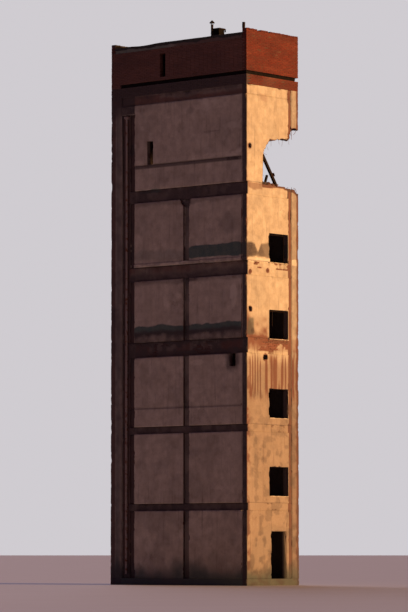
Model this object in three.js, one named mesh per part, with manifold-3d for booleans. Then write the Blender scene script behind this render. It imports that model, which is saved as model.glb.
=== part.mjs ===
// A tall rectangular concrete silo tower with a brick attic, worn, with one corner of its top
// chamber broken out. Millimetres, +Z up, origin at ground level under the middle of the plan.
// The long front faces -Y and the short right side faces +X.
import * as THREE from "three";
import { mergeVertices } from "three/addons/utils/BufferGeometryUtils.js";
import Module from "manifold-3d";

const wasm = await Module();
wasm.setup();

// Plan
const HALF_LENGTH = 4150;
const HALF_WIDTH = 1850;
const LONG_WALL = 250;
const SIDE_WALL = 300;
const PIER_LENGTH = 660;
const PIER_WIDTH = 480;
const BROKEN_PIER_LENGTH = 500;

// Levels
const FOUNDATION_TOP = 300;
const FIRST_BEAM = 3400;
const STOREY = 3550;
const BEAM_HEIGHTS = [330, 330, 700, 650, 580];
const TOP_BEAM_RISE = 110;
const CHAMBER_JOINT = 19450;
const RING_BEAM_BOTTOM = 22300;
const RING_BEAM_TOP = 22740;
const BRICK_BAND_TOP = 23190;
const ATTIC_FLOOR_TOP = 23360;
const ATTIC_WALL_TOP = 24850;
const ROOF_TOP = 25100;
const GABLE_TOP = 25300;

// The floor beams lie a little behind the faces of the wall panels.
const LONG_BEAM_RECESS = 100;
const SIDE_BEAM_RECESS = 30;
const BEAM_WIDTH = 300;
const FLOOR_SLAB = 200;
const LEDGE_STOREY = 5;
const LEDGE_HEIGHT = 160;
const LEDGE_OUT = 40;

// Upright recesses in the long walls: the pipe chase beside the pier, a joint and a column strip
const CHASE_END = -3050;
const JOINT_END = -2690;
const COLUMN_STRIP = [330, 680];
const COLUMN_HEAD = { storey: 5, height: 300, flare: 170 };
const CHASE_DEPTH = 110;
const JOINT_DEPTH = 180;
const COLUMN_DEPTH = 130;
const CHASE_TOP = 21880;

// The joint between a panel and the corner pier of a side wall
const PIER_JOINT_WIDTH = 220;
const PIER_JOINT_DEPTH = 40;

// Openings
const WINDOW_Y = [-240, 1090];
const WINDOW_HEIGHT = 1320;
const WINDOW_RISE = 650;
const DOOR_Y = [-120, 980];
const DOOR_TOP = 2450;
const SLOT_X = [-1910, -1540];
const SLOT_Z = [CHAMBER_JOINT + 30, CHAMBER_JOINT + 1110];
const ATTIC_SLOT_X = [-1120, -780];
const ATTIC_SLOT_Z = [23490, 24600];

// A cutting shape runs PAST the faces that it cuts, and PLAY parts two faces that touch at a slant.
const PAST = 10;
const PLAY = 0.3;

function finish(color, roughness, metalness = 0) {
  return new THREE.MeshStandardMaterial({ color, roughness, metalness });
}
const MATERIALS = {
  plaster: finish(0xb8a48c, 0.92),
  concrete: finish(0x8d8377, 0.95),
  darkConcrete: finish(0x5d534c, 0.95),
  brick: finish(0x9a4630, 0.9),
  felt: finish(0x2a2726, 0.85),
  steel: finish(0x5a3a2c, 0.8, 0.6),
};

const silo = new THREE.Group();

// A group for each face of the silo. Its x runs to the right as seen from outside, its y runs up,
// and its z runs out of the face from the middle of the plan.
function faceGroup(turn) {
  const group = new THREE.Group();
  group.rotation.set(Math.PI / 2, 0, turn, "ZXY");
  silo.add(group);
  return group;
}
const FRONT = faceGroup(0);
const RIGHT = faceGroup(Math.PI / 2);
const BACK = faceGroup(Math.PI);
const LEFT = faceGroup(-Math.PI / 2);

function add(name, geometry, material, group = silo) {
  const mesh = new THREE.Mesh(geometry, MATERIALS[material]);
  mesh.name = name;
  group.add(mesh);
  return mesh;
}

function block(x, y, z) {
  const geometry = new THREE.BoxGeometry(x[1] - x[0], y[1] - y[0], z[1] - z[0]);
  return geometry.translate((x[0] + x[1]) / 2, (y[0] + y[1]) / 2, (z[0] + z[1]) / 2);
}

function toSolid(geometry) {
  const bare = geometry.clone();
  bare.deleteAttribute("normal");
  bare.deleteAttribute("uv");
  const merged = mergeVertices(bare, 1e-3);
  return new wasm.Manifold(
    new wasm.Mesh({
      numProp: 3,
      vertProperties: new Float32Array(merged.attributes.position.array),
      triVerts: new Uint32Array(merged.index.array),
    }),
  );
}

function toGeometry(solid) {
  const mesh = solid.getMesh();
  const positions = new THREE.BufferAttribute(new Float32Array(mesh.vertProperties), 3);
  const geometry = new THREE.BufferGeometry().setAttribute("position", positions);
  geometry.setIndex(new THREE.BufferAttribute(new Uint32Array(mesh.triVerts), 1));
  geometry.computeVertexNormals();
  return geometry;
}

function cut(geometry, ...tools) {
  return toGeometry(tools.reduce((solid, tool) => solid.subtract(toSolid(tool)), toSolid(geometry)));
}

function join(geometry, ...others) {
  return toGeometry(others.reduce((solid, other) => solid.add(toSolid(other)), toSolid(geometry)));
}

function mirrored([low, high]) {
  return [-high, -low];
}

function past([low, high]) {
  return [low - PAST, high + PAST];
}

function extruded(outline, depth) {
  const shape = new THREE.Shape(outline.map(([x, y]) => new THREE.Vector2(x, y)));
  return new THREE.ExtrudeGeometry(shape, { depth, bevelEnabled: false });
}

// The broken corner, as outlines seen from outside: x is Y on the right side and -X on the back.
const REACH = 600;
const BREAK_TOP = 20990;
const BREAK_SILL = 18250;
const BREAK_RIGHT = [
  [-680, BREAK_SILL],
  [-680, 19550],
  [-600, 19720],
  [-470, 19930],
  [-360, 20180],
  [-180, 20330],
  [620, 20390],
  [1300, 20470],
  [1370, BREAK_TOP],
  [HALF_WIDTH + REACH, BREAK_TOP],
  [HALF_WIDTH + REACH, 17780],
  [HALF_WIDTH, 18000],
  [1600, 18110],
  [1250, 18200],
  [900, BREAK_SILL],
];
const BREAK_BACK = [
  [-HALF_LENGTH - REACH, BREAK_SILL],
  [-HALF_LENGTH - REACH, BREAK_TOP],
  [-3650, BREAK_TOP],
  [-3100, 21080],
  [-2500, 20990],
  [-2060, 20720],
  [-1760, 20140],
  [-1630, 19500],
  [-1800, 18900],
  [-1890, 18380],
  [-2240, BREAK_SILL],
  [-2700, BREAK_SILL],
  [-3050, 18200],
  [-3640, 18080],
  [-3650, BREAK_SILL],
];
function breakShape(outline, face, depth) {
  return extruded(outline, depth + 2 * REACH).translate(0, 0, face - depth - REACH);
}
const rightBreak = breakShape(BREAK_RIGHT, HALF_LENGTH, BROKEN_PIER_LENGTH);
const backBreak = breakShape(BREAK_BACK, HALF_WIDTH, LONG_BEAM_RECESS + BEAM_WIDTH);

// The same shapes turned from their faces into the silo, for pieces that go round the corner
const rightBreakInSilo = rightBreak.clone().rotateX(Math.PI / 2).rotateZ(Math.PI / 2);
const backBreakInSilo = backBreak.clone().rotateX(Math.PI / 2).rotateZ(Math.PI);

// Storeys are counted from 1 at the ground, and floor n is the one over storey n.
const STOREYS = [1, 2, 3, 4, 5];
const TOP_FLOOR = 5;
function beamBottom(floor) {
  return FIRST_BEAM + (floor - 1) * STOREY + (floor === TOP_FLOOR ? TOP_BEAM_RISE : 0);
}
function beamTop(floor) {
  return beamBottom(floor) + BEAM_HEIGHTS[floor - 1];
}
function wallHeights(storey) {
  return [storey === 1 ? FOUNDATION_TOP : beamTop(storey - 1), beamBottom(storey)];
}
const CHAMBER = [beamTop(TOP_FLOOR), RING_BEAM_BOTTOM];

// Foundation: the slab that everything stands on
add(
  "foundation_slab",
  block([-HALF_LENGTH, HALF_LENGTH], [-HALF_WIDTH, HALF_WIDTH], [0, FOUNDATION_TOP]),
  "darkConcrete",
);

// Corner piers, up to the brick band; the one at the back right is broken through at the top
// chamber.
const leftPierX = [-HALF_LENGTH, -HALF_LENGTH + PIER_LENGTH];
const rightPierX = [HALF_LENGTH - BROKEN_PIER_LENGTH, HALF_LENGTH];
const frontPierY = [-HALF_WIDTH, -HALF_WIDTH + PIER_WIDTH];
const backPierY = mirrored(frontPierY);
const pierZ = [FOUNDATION_TOP, RING_BEAM_TOP];
add("pier_front_left", block(leftPierX, frontPierY, pierZ), "concrete");
add("pier_back_left", block(leftPierX, backPierY, pierZ), "concrete");
add(
  "pier_back_right_lower",
  cut(block(rightPierX, backPierY, [FOUNDATION_TOP, CHAMBER[0]]), rightBreakInSilo),
  "concrete",
);
add("pier_back_right_upper", block(rightPierX, backPierY, [BREAK_TOP, RING_BEAM_TOP]), "concrete");

// Floors: a slab with beams that stand up round its edge, notched round the piers. The grooves
// beside the piers run on across the edges of the floors and of the ring beam.
const grooveX = [HALF_LENGTH - PIER_JOINT_DEPTH, HALF_LENGTH + PAST];
const grooveY = [backPierY[0] - PIER_JOINT_WIDTH, backPierY[0] + PAST];
const backGrooveX = [rightPierX[0] - PIER_JOINT_WIDTH, rightPierX[0] + PAST];
const backGrooveY = [HALF_WIDTH - PIER_JOINT_DEPTH, HALF_WIDTH + PAST];
function pierNotches(z) {
  return [
    block(leftPierX, frontPierY, past(z)),
    block(leftPierX, backPierY, past(z)),
    block(rightPierX, backPierY, past(z)),
    block(grooveX, grooveY, past(z)),
    block(mirrored(grooveX), grooveY, past(z)),
    block(mirrored(grooveX), mirrored(grooveY), past(z)),
    block(backGrooveX, backGrooveY, past(z)),
  ];
}
function floorTray(floor) {
  const x = HALF_LENGTH - SIDE_BEAM_RECESS;
  const y = HALF_WIDTH - LONG_BEAM_RECESS;
  const z = [beamBottom(floor), beamTop(floor)];
  const well = block(
    [BEAM_WIDTH - x, x - BEAM_WIDTH],
    [BEAM_WIDTH - y, y - BEAM_WIDTH],
    [z[0] + FLOOR_SLAB, z[1] + PAST],
  );
  return cut(block([-x, x], [-y, y], z), well, ...pierNotches(z));
}
for (const floor of STOREYS) {
  const tray = floorTray(floor);
  const whole = floor !== TOP_FLOOR;
  add(`floor_${floor}`, whole ? tray : cut(tray, rightBreakInSilo, backBreakInSilo), "darkConcrete");
}

// Long walls. Those of the back are the mirror image of those in front.
const frontWallX = [-HALF_LENGTH + PIER_LENGTH, HALF_LENGTH - SIDE_WALL];
const backWallX = mirrored([-HALF_LENGTH + PIER_LENGTH, HALF_LENGTH - BROKEN_PIER_LENGTH]);
const longDepth = [HALF_WIDTH - LONG_WALL, HALF_WIDTH];
const chaseX = [frontWallX[0] - PAST, CHASE_END];
const jointX = [CHASE_END, JOINT_END];
const brokenPierJointX = [backWallX[0] - PAST, backWallX[0] + PIER_JOINT_WIDTH];
function longRecess(x, z, depth) {
  return block(x, past(z), [HALF_WIDTH - depth, HALF_WIDTH + PAST]);
}
function upToChaseTop([low, high]) {
  return [low, Math.min(high, CHASE_TOP)];
}
function frontWall(z, ...tools) {
  return cut(
    block(frontWallX, z, longDepth),
    longRecess(chaseX, upToChaseTop(z), CHASE_DEPTH),
    longRecess(jointX, upToChaseTop(z), JOINT_DEPTH),
    ...tools,
  );
}
function backWall(z, ...tools) {
  return cut(
    block(backWallX, z, longDepth),
    longRecess(mirrored(chaseX), upToChaseTop(z), CHASE_DEPTH),
    longRecess(mirrored(jointX), upToChaseTop(z), JOINT_DEPTH),
    longRecess(brokenPierJointX, z, PIER_JOINT_DEPTH),
    ...tools,
  );
}
function ledgeDepth(face) {
  return [face - PAST, face + LEDGE_OUT];
}
function withLedge(wall, storey, ...ledges) {
  if (storey !== LEDGE_STOREY) return wall;
  const foot = wallHeights(storey)[0];
  return join(wall, ...ledges.map(([x, depth]) => block(x, [foot, foot + LEDGE_HEIGHT], depth)));
}

// The column strip, with a head that spreads under the beam of one storey
function columnRecess(storey, x) {
  const z = wallHeights(storey);
  const strip = longRecess(x, z, COLUMN_DEPTH);
  if (storey !== COLUMN_HEAD.storey) return [strip];
  const [foot, top] = [z[1] - COLUMN_HEAD.height, z[1] + PAST];
  const head = [
    [x[0], foot],
    [x[1], foot],
    [x[1] + COLUMN_HEAD.flare, top],
    [x[0] - COLUMN_HEAD.flare, top],
  ];
  return [strip, extruded(head, COLUMN_DEPTH + PAST).translate(0, 0, HALF_WIDTH - COLUMN_DEPTH)];
}

// Holes knocked through the panels, by their middle and size on the face
const FRONT_HOLES = [{ x: 3290, z: 10220, width: 360, height: 600 }];
const RIGHT_HOLES = [
  { x: -1610, z: 19910, width: 180, height: 180 },
  { x: -1570, z: 12490, width: 160, height: 200 },
  { x: -520, z: 10340, width: 260, height: 200 },
];
function holes(list, z, depth) {
  return list
    .filter((hole) => hole.z > z[0] && hole.z < z[1])
    .map((hole) =>
      block(
        [hole.x - hole.width / 2, hole.x + hole.width / 2],
        [hole.z - hole.height / 2, hole.z + hole.height / 2],
        past(depth),
      ),
    );
}

for (const storey of STOREYS) {
  const z = wallHeights(storey);
  const frontTools = [...columnRecess(storey, COLUMN_STRIP), ...holes(FRONT_HOLES, z, longDepth)];
  const front = frontWall(z, ...frontTools);
  const frontLedge = [[JOINT_END, frontWallX[1]], ledgeDepth(HALF_WIDTH)];
  add(`front_wall_${storey}`, withLedge(front, storey, frontLedge), "plaster", FRONT);
  const back = backWall(z, ...columnRecess(storey, mirrored(COLUMN_STRIP)));
  const backLedge = [[backWallX[0] + PIER_JOINT_WIDTH, -JOINT_END], ledgeDepth(HALF_WIDTH)];
  add(`back_wall_${storey}`, withLedge(back, storey, backLedge), "plaster", BACK);
}

// Side walls, with a window in each storey over the ground. The left side mirrors the right, but
// has a pier at each end.
const rightWallY = [-HALF_WIDTH, HALF_WIDTH - PIER_WIDTH];
const leftWallY = [PIER_WIDTH - HALF_WIDTH, HALF_WIDTH - PIER_WIDTH];
const sideDepth = [HALF_LENGTH - SIDE_WALL, HALF_LENGTH];
const sideJointY = [rightWallY[1] - PIER_JOINT_WIDTH, rightWallY[1] + PAST];
function sideJoint(y, z) {
  return block(y, past(z), [HALF_LENGTH - PIER_JOINT_DEPTH, HALF_LENGTH + LEDGE_OUT + PAST]);
}
function leftWall(z) {
  return cut(block(leftWallY, z, sideDepth), sideJoint(sideJointY, z), sideJoint(mirrored(sideJointY), z));
}
function windowHole(storey, y) {
  const foot = wallHeights(storey)[0];
  const sill = Math.max(beamBottom(storey - 1) + WINDOW_RISE, foot);
  const bottom = sill === foot ? sill - PAST : sill;
  return block(y, [bottom, sill + WINDOW_HEIGHT], [sideDepth[0] - PAST, sideDepth[1] + LEDGE_OUT + PAST]);
}
const rightLedge = [[rightWallY[0], sideJointY[0]], ledgeDepth(HALF_LENGTH)];
const leftLedge = [[-sideJointY[0], sideJointY[0]], ledgeDepth(HALF_LENGTH)];
const cornerLedge = [
  [rightWallY[0] - LEDGE_OUT, rightWallY[0] + PAST],
  [sideDepth[0], sideDepth[1] + LEDGE_OUT],
];
for (const storey of STOREYS.slice(1)) {
  const z = wallHeights(storey);
  const right = withLedge(block(rightWallY, z, sideDepth), storey, rightLedge, cornerLedge);
  const rightTools = [sideJoint(sideJointY, z), windowHole(storey, WINDOW_Y)];
  const rightCut = cut(right, ...rightTools, ...holes(RIGHT_HOLES, z, sideDepth));
  add(`right_wall_${storey}`, rightCut, "plaster", RIGHT);
  const left = withLedge(leftWall(z), storey, leftLedge);
  add(`left_wall_${storey}`, cut(left, windowHole(storey, mirrored(WINDOW_Y))), "plaster", LEFT);
}

// Ground storey: the left wall is plain, and the right one is in three pieces round a doorway.
const groundZ = wallHeights(1);
add("left_wall_1", leftWall(groundZ), "plaster", LEFT);
add("right_wall_1_front", block([rightWallY[0], DOOR_Y[0]], groundZ, sideDepth), "plaster", RIGHT);
add(
  "right_wall_1_back",
  cut(block([DOOR_Y[1], rightWallY[1]], groundZ, sideDepth), sideJoint(sideJointY, groundZ)),
  "plaster",
  RIGHT,
);
add("right_wall_1_over_door", block(DOOR_Y, [DOOR_TOP, groundZ[1]], sideDepth), "plaster", RIGHT);

// Top chamber: a low apron wall with a tall panel over it in front, and plain walls elsewhere
const APRON_RECESS = 30;
const apronX = [JOINT_END - PAST, frontWallX[1] + PAST];
const apronZ = [CHAMBER[0], CHAMBER_JOINT];
const panelZ = [CHAMBER_JOINT, RING_BEAM_BOTTOM];
add("front_apron", frontWall(apronZ, longRecess(apronX, apronZ, APRON_RECESS)), "plaster", FRONT);
add("front_wall_top", frontWall(panelZ, block(SLOT_X, SLOT_Z, past(longDepth))), "plaster", FRONT);
add("back_wall_top", backWall(CHAMBER, backBreak), "plaster", BACK);
const rightTop = cut(block(rightWallY, CHAMBER, sideDepth), sideJoint(sideJointY, CHAMBER), rightBreak);
add("right_wall_top", cut(rightTop, ...holes(RIGHT_HOLES, CHAMBER, sideDepth)), "plaster", RIGHT);
add("left_wall_top", leftWall(CHAMBER), "plaster", LEFT);

// Rings round the head of the tower: a concrete beam, wide enough to pass behind the heads of the
// piers, and a band of brickwork on it
const RING_RECESS = 40;
const RING_WELL = [3300, 1200];
const BRICK_BAND_WIDTH = 380;
function ring([x, y], [wellX, wellY], z) {
  return cut(block([-x, x], [-y, y], z), block([-wellX, wellX], [-wellY, wellY], past(z)));
}
const ringFaces = [HALF_LENGTH - SIDE_BEAM_RECESS, HALF_WIDTH - RING_RECESS];
const ringZ = [RING_BEAM_BOTTOM, RING_BEAM_TOP];
add("ring_beam", cut(ring(ringFaces, RING_WELL, ringZ), ...pierNotches(ringZ)), "darkConcrete");
const bandFaces = [HALF_LENGTH, HALF_WIDTH];
const bandWell = bandFaces.map((face) => face - BRICK_BAND_WIDTH);
add("brick_band", ring(bandFaces, bandWell, [RING_BEAM_TOP, BRICK_BAND_TOP]), "brick");

// Attic: its floor slab is set back in a dark joint, brick walls stand on it, and the roof slab
// lies between the two gables. At the left end the brickwork goes down past the slab, all along
// the gable and at the ends of the long walls.
const ATTIC_FLOOR_RECESS = 80;
const BRICK_WALL = 250;
const ATTIC_LEG = 310;
const ROOF_OVERHANG = 40;
const gableInside = HALF_LENGTH - BRICK_WALL;
const atticX = [-gableInside, gableInside];
const atticZ = [ATTIC_FLOOR_TOP, ATTIC_WALL_TOP];
const atticFrontY = [-HALF_WIDTH, -HALF_WIDTH + BRICK_WALL];
const atticBackY = mirrored(atticFrontY);
const legX = [-gableInside, ATTIC_LEG - gableInside];
const slabZ = [BRICK_BAND_TOP, ATTIC_FLOOR_TOP];
function atticWall(y) {
  return join(block(atticX, y, atticZ), block(legX, y, [BRICK_BAND_TOP, ATTIC_WALL_TOP]));
}
add(
  "attic_floor_slab",
  cut(
    block(
      [-gableInside, HALF_LENGTH - ATTIC_FLOOR_RECESS],
      [ATTIC_FLOOR_RECESS - HALF_WIDTH, HALF_WIDTH - ATTIC_FLOOR_RECESS],
      slabZ,
    ),
    block([legX[0] - PAST, legX[1]], atticFrontY, past(slabZ)),
    block([legX[0] - PAST, legX[1]], atticBackY, past(slabZ)),
  ),
  "darkConcrete",
);
const atticFront = cut(atticWall(atticFrontY), block(ATTIC_SLOT_X, past(atticFrontY), ATTIC_SLOT_Z));
add("attic_front_wall", atticFront, "brick");
add("attic_back_wall", atticWall(atticBackY), "brick");
const gableY = [-HALF_WIDTH, HALF_WIDTH];
const rightGableZ = [ATTIC_FLOOR_TOP, GABLE_TOP];
const leftGableZ = [BRICK_BAND_TOP, GABLE_TOP];
add("gable_right", block([gableInside, HALF_LENGTH], gableY, rightGableZ), "brick");
add("gable_left", block([-HALF_LENGTH, -gableInside], gableY, leftGableZ), "brick");
const roofY = [-HALF_WIDTH - ROOF_OVERHANG, HALF_WIDTH + ROOF_OVERHANG];
add("roof_slab", block(atticX, roofY, [ATTIC_WALL_TOP, ROOF_TOP]), "felt");

// On the roof: a hatch with its lid, a capped vent pipe and the stub of a post at the front corner
const HATCH = { x: 1800, y: -1050, half: 200, height: 450, lid: 40, lidOut: 25 };
function hatchBlock(half, z) {
  return block([HATCH.x - half, HATCH.x + half], [HATCH.y - half, HATCH.y + half], z);
}
const hatchTop = ROOF_TOP + HATCH.height;
add(
  "roof_hatch",
  join(
    hatchBlock(HATCH.half, [ROOF_TOP, hatchTop]),
    hatchBlock(HATCH.half + HATCH.lidOut, [hatchTop - PAST, hatchTop + HATCH.lid]),
  ),
  "felt",
);

const VENT = { x: 1270, y: -900, radius: 55, neck: 790 };
const VENT_CAP = { radius: 120, slope: 20, edge: 60, rise: 70 };
const ventProfile = [
  [0, 0],
  [VENT.radius, 0],
  [VENT.radius, VENT.neck],
  [VENT_CAP.radius, VENT.neck + VENT_CAP.slope],
  [VENT_CAP.radius, VENT.neck + VENT_CAP.slope + VENT_CAP.edge],
  [0, VENT.neck + VENT_CAP.slope + VENT_CAP.edge + VENT_CAP.rise],
].map(([radius, height]) => new THREE.Vector2(radius, height));
const vent = add("vent_pipe", new THREE.LatheGeometry(ventProfile, 12).rotateX(Math.PI / 2), "steel");
vent.position.set(VENT.x, VENT.y, ROOF_TOP);

const POST = { half: 60, height: 280, fromRight: 230, fromFront: 75 };
const postSides = [-POST.half, POST.half];
const post = add("corner_post", block(postSides, postSides, [0, POST.height]), "steel");
post.position.set(HALF_LENGTH - POST.fromRight, POST.fromFront - HALF_WIDTH, GABLE_TOP);

// A steel bar that has fallen across the broken corner: its foot stands on the edge beam and its
// head leans on the slanted stretch of the broken edge of the right wall.
const BAR = { length: 1760, width: 130, depth: 110, lean: THREE.MathUtils.degToRad(36), x: 4060 };
const barShape = block([-BAR.depth / 2, BAR.depth / 2], [0, BAR.width], [0, BAR.length]);
const bar = add("fallen_bar", barShape, "steel");
const barFootZ = BREAK_SILL + PLAY;
const barHeadZ = barFootZ + BAR.length * Math.cos(BAR.lean);
const [, [slantFootY, slantFootZ], [slantHeadY, slantHeadZ]] = BREAK_RIGHT;
const slantShare = (barHeadZ - slantFootZ) / (slantHeadZ - slantFootZ);
const barHeadY = slantFootY + slantShare * (slantHeadY - slantFootY);
bar.rotation.x = BAR.lean;
bar.position.set(BAR.x, barHeadY + PLAY + BAR.length * Math.sin(BAR.lean), barFootZ);

// Rainwater pipe in the chase beside the front left pier, with a hopper head and wall brackets
const PIPE = { x: -3200, y: -1812, radius: 60, bottom: 500, top: 21740 };
const HOPPER = { halfWidth: 130, back: 62, front: 70, height: 90 };
const BRACKET = { halfWidth: 90, front: 15, height: 60, belowBeam: 700 };
const pipeTube = new THREE.CylinderGeometry(PIPE.radius, PIPE.radius, PIPE.top - PIPE.bottom, 12)
  .rotateX(Math.PI / 2)
  .translate(PIPE.x, PIPE.y, (PIPE.top + PIPE.bottom) / 2);
const hopper = block(
  [PIPE.x - HOPPER.halfWidth, PIPE.x + HOPPER.halfWidth],
  [PIPE.y - HOPPER.front, PIPE.y + HOPPER.back],
  [PIPE.top - PAST, PIPE.top + HOPPER.height],
);
const brackets = STOREYS.map((floor) => {
  const z = beamBottom(floor) - BRACKET.belowBeam;
  return block(
    [PIPE.x - BRACKET.halfWidth, PIPE.x + BRACKET.halfWidth],
    [PIPE.y - BRACKET.front, CHASE_DEPTH - HALF_WIDTH],
    [z, z + BRACKET.height],
  );
});
add("rain_pipe", join(pipeTube, hopper, ...brackets), "steel");

export default silo;
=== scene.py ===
import itertools
import math

import bmesh
import bpy
import numpy as np
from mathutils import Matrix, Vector


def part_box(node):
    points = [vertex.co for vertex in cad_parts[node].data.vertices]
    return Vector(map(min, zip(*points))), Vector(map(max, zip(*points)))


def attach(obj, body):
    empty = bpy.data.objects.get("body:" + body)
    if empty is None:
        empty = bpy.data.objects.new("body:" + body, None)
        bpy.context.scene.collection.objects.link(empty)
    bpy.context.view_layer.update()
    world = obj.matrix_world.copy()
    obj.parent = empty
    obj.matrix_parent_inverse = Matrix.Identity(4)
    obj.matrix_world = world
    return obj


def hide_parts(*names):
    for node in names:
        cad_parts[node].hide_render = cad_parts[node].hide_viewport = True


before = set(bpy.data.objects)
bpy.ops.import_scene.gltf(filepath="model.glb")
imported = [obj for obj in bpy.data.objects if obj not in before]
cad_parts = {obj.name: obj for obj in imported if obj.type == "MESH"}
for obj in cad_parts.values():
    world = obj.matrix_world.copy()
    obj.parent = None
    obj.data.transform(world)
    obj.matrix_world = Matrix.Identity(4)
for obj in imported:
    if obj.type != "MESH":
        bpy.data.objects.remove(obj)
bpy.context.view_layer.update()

# Driving sizes, read from the frame
OUT_X, OUT_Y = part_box("foundation_slab")[1].xy
PIER_FRONT_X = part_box("pier_front_left")[1].x
CORNER_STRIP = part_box("front_wall_2")[1].x
CHAMBER_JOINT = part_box("front_apron")[1].z
FLOORS = [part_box(f"floor_{number}") for number in range(1, 6)]
TOP_FLOOR = FLOORS[4]
BEAM_END = FLOORS[2][1].x
BEAM_FRONT = FLOORS[2][0].y
RING_BOTTOM, RING_TOP = (corner.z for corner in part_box("ring_beam"))
BAND_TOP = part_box("brick_band")[1].z
GABLE_INSIDE, _, ATTIC_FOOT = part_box("gable_right")[0]
ATTIC_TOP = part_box("attic_front_wall")[1].z
GABLE_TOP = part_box("gable_right")[1].z
FELT_HALF, ROOF_EDGE, ROOF_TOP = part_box("roof_slab")[1]

# Recesses and openings of the long walls and of the end walls
DEEP_JOINT = (-3.05, -2.69)
COLUMN_STRIP = (0.33, 0.68)
CHASE_TOP = 21.89
CORNER_JOINT = (1.15, 1.37)
WINDOW_Y = (-0.24, 1.09)
WINDOW_HEIGHT = 1.32
PANEL_JOINT_Z = (8.12, 8.16)
ATTIC_SLOT = ((-1.12, -0.78), (23.49, 24.6))
ATTIC_LEG_END = -3.59
# The heights of the beams of floors 3 and 4, and of the ledge on top of the second of them
THIRD_BEAM = (10.5, 11.2)
FOURTH_BEAM = (14.02, 14.7)
LEDGE = (14.69, 14.87)
BREAK_LOW = (1.4, -0.8, 17.6)
BREAK_HIGH = (4.3, 2.0, 21.2)


# Noise from hashed lattice points, the same in each run

def hashed(x, y, z, seed):
    h = (x * 374761393 + y * 668265263 + z * 2147483629 + seed * 1274126177) & 0xFFFFFFFF
    h = ((h ^ (h >> 13)) * 1274126177) & 0xFFFFFFFF
    h = ((h ^ (h >> 16)) * 2246822519) & 0xFFFFFFFF
    return ((h ^ (h >> 15)) & 0xFFFFFF) / 0xFFFFFF


def value_noise(points, size, seed):
    scaled = points / np.asarray(size, float)
    cell = np.floor(scaled).astype(np.int64)
    part = scaled - cell
    part = part * part * (3 - 2 * part)
    total = np.zeros(len(points))
    for corner in itertools.product((0, 1), repeat=3):
        weight = np.abs(1 - np.array(corner) - part).prod(axis=1)
        total += weight * hashed(*(cell + corner).T, seed)
    return total


def fractal(points, size, seed, octaves=4):
    """Noise of several scales, spread over 0 to 1."""
    total = np.zeros(len(points))
    weights = 0.5 ** np.arange(octaves)
    for octave, weight in enumerate(weights):
        finer = np.asarray(size, float) * 0.5 ** octave
        total += weight * value_noise(points, finer, seed + 17 * octave)
    return np.clip((total / weights.sum() - 0.5) * 1.8 + 0.5, 0, 1)


def ease(low, high, value):
    t = np.clip((value - low) / (high - low), 0, 1)
    return t * t * (3 - 2 * t)


def between(value, low, high, soft):
    return ease(low - soft, low + soft, value) * (1 - ease(high - soft, high + soft, value))


# Materials

class Shader:
    """A node material that is put together by short calls."""

    def __init__(self, name):
        self.material = bpy.data.materials.new(name)
        self.material.use_nodes = True
        self.tree = self.material.node_tree
        self.tree.nodes.clear()
        self.place = self.node("TexCoord").outputs["Object"]

    def node(self, kind, inputs=(), **settings):
        made = self.tree.nodes.new("ShaderNode" + kind)
        for key, value in settings.items():
            setattr(made, key, value)
        for key, value in dict(inputs).items():
            if isinstance(value, bpy.types.NodeSocket):
                self.tree.links.new(value, made.inputs[key])
            else:
                made.inputs[key].default_value = value
        return made

    def attribute(self, name):
        return self.node("Attribute", attribute_name=name).outputs["Fac"]

    def noise(self, scale, detail=5.0, roughness=0.6, stretch=(1, 1, 1)):
        place = self.node("Mapping", {"Vector": self.place, "Scale": stretch}).outputs["Vector"]
        inputs = {"Vector": place, "Scale": scale, "Detail": detail, "Roughness": roughness}
        return self.node("TexNoise", inputs).outputs["Fac"]

    def cells(self, scale, feature="F1"):
        inputs = {"Vector": self.place, "Scale": scale}
        return self.node("TexVoronoi", inputs, feature=feature).outputs["Distance"]

    def maths(self, operation, *values):
        return self.node("Math", enumerate(values), operation=operation).outputs[0]

    def plus(self, a, b):
        return self.maths("ADD", a, b)

    def times(self, a, b):
        return self.maths("MULTIPLY", a, b)

    def spread(self, value, low, high, to_low=0.0, to_high=1.0):
        inputs = {"Value": value, "From Min": low, "From Max": high, "To Min": to_low, "To Max": to_high}
        return self.node("MapRange", inputs, interpolation_type="SMOOTHSTEP").outputs["Result"]

    def ragged(self, amount, noise, spread=0.7, soft=0.18):
        """A mask that follows amount, with its edge broken up by the noise."""
        shifted = self.maths("MULTIPLY_ADD", noise, spread, -0.5 * spread)
        return self.spread(self.plus(amount, shifted), 0.5 - soft, 0.5 + soft)

    def ramp(self, value, stops):
        made = self.node("ValToRGB", {"Fac": value})
        elements = made.color_ramp.elements
        while len(elements) < len(stops):
            elements.new(0.5)
        for element, (place, colour) in zip(elements, stops):
            element.position = place
            element.color = (*colour, 1)
        return made.outputs["Color"]

    def coats(self, colour, *coats):
        """Coats of other colours over a colour, each with its own share."""
        for share, coat in coats:
            if not isinstance(coat, bpy.types.NodeSocket):
                coat = (*coat, 1)
            colour = self.node("Mix", {0: share, 6: colour, 7: coat}, data_type="RGBA").outputs[2]
        return colour

    def finish(self, colour, roughness, height, distance, strength=1.0, specular=0.35):
        bump = self.node("Bump", {"Height": height, "Distance": distance, "Strength": strength})
        inputs = {"Base Color": colour, "Roughness": roughness, "Normal": bump.outputs["Normal"]}
        inputs["Specular IOR Level"] = specular
        shader = self.node("BsdfPrincipled", inputs)
        self.node("OutputMaterial", {"Surface": shader.outputs["BSDF"]})
        return self.material


# The grime colour below also serves as painted shade.
GRIME_AND_SHADE = (0.08, 0.062, 0.062)
ALGAE = (0.078, 0.128, 0.12)
RED_DUST_AND_SHADE = (0.155, 0.04, 0.028)
LIME = (0.74, 0.645, 0.54)
AGGREGATE = (0.36, 0.29, 0.235)


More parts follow.
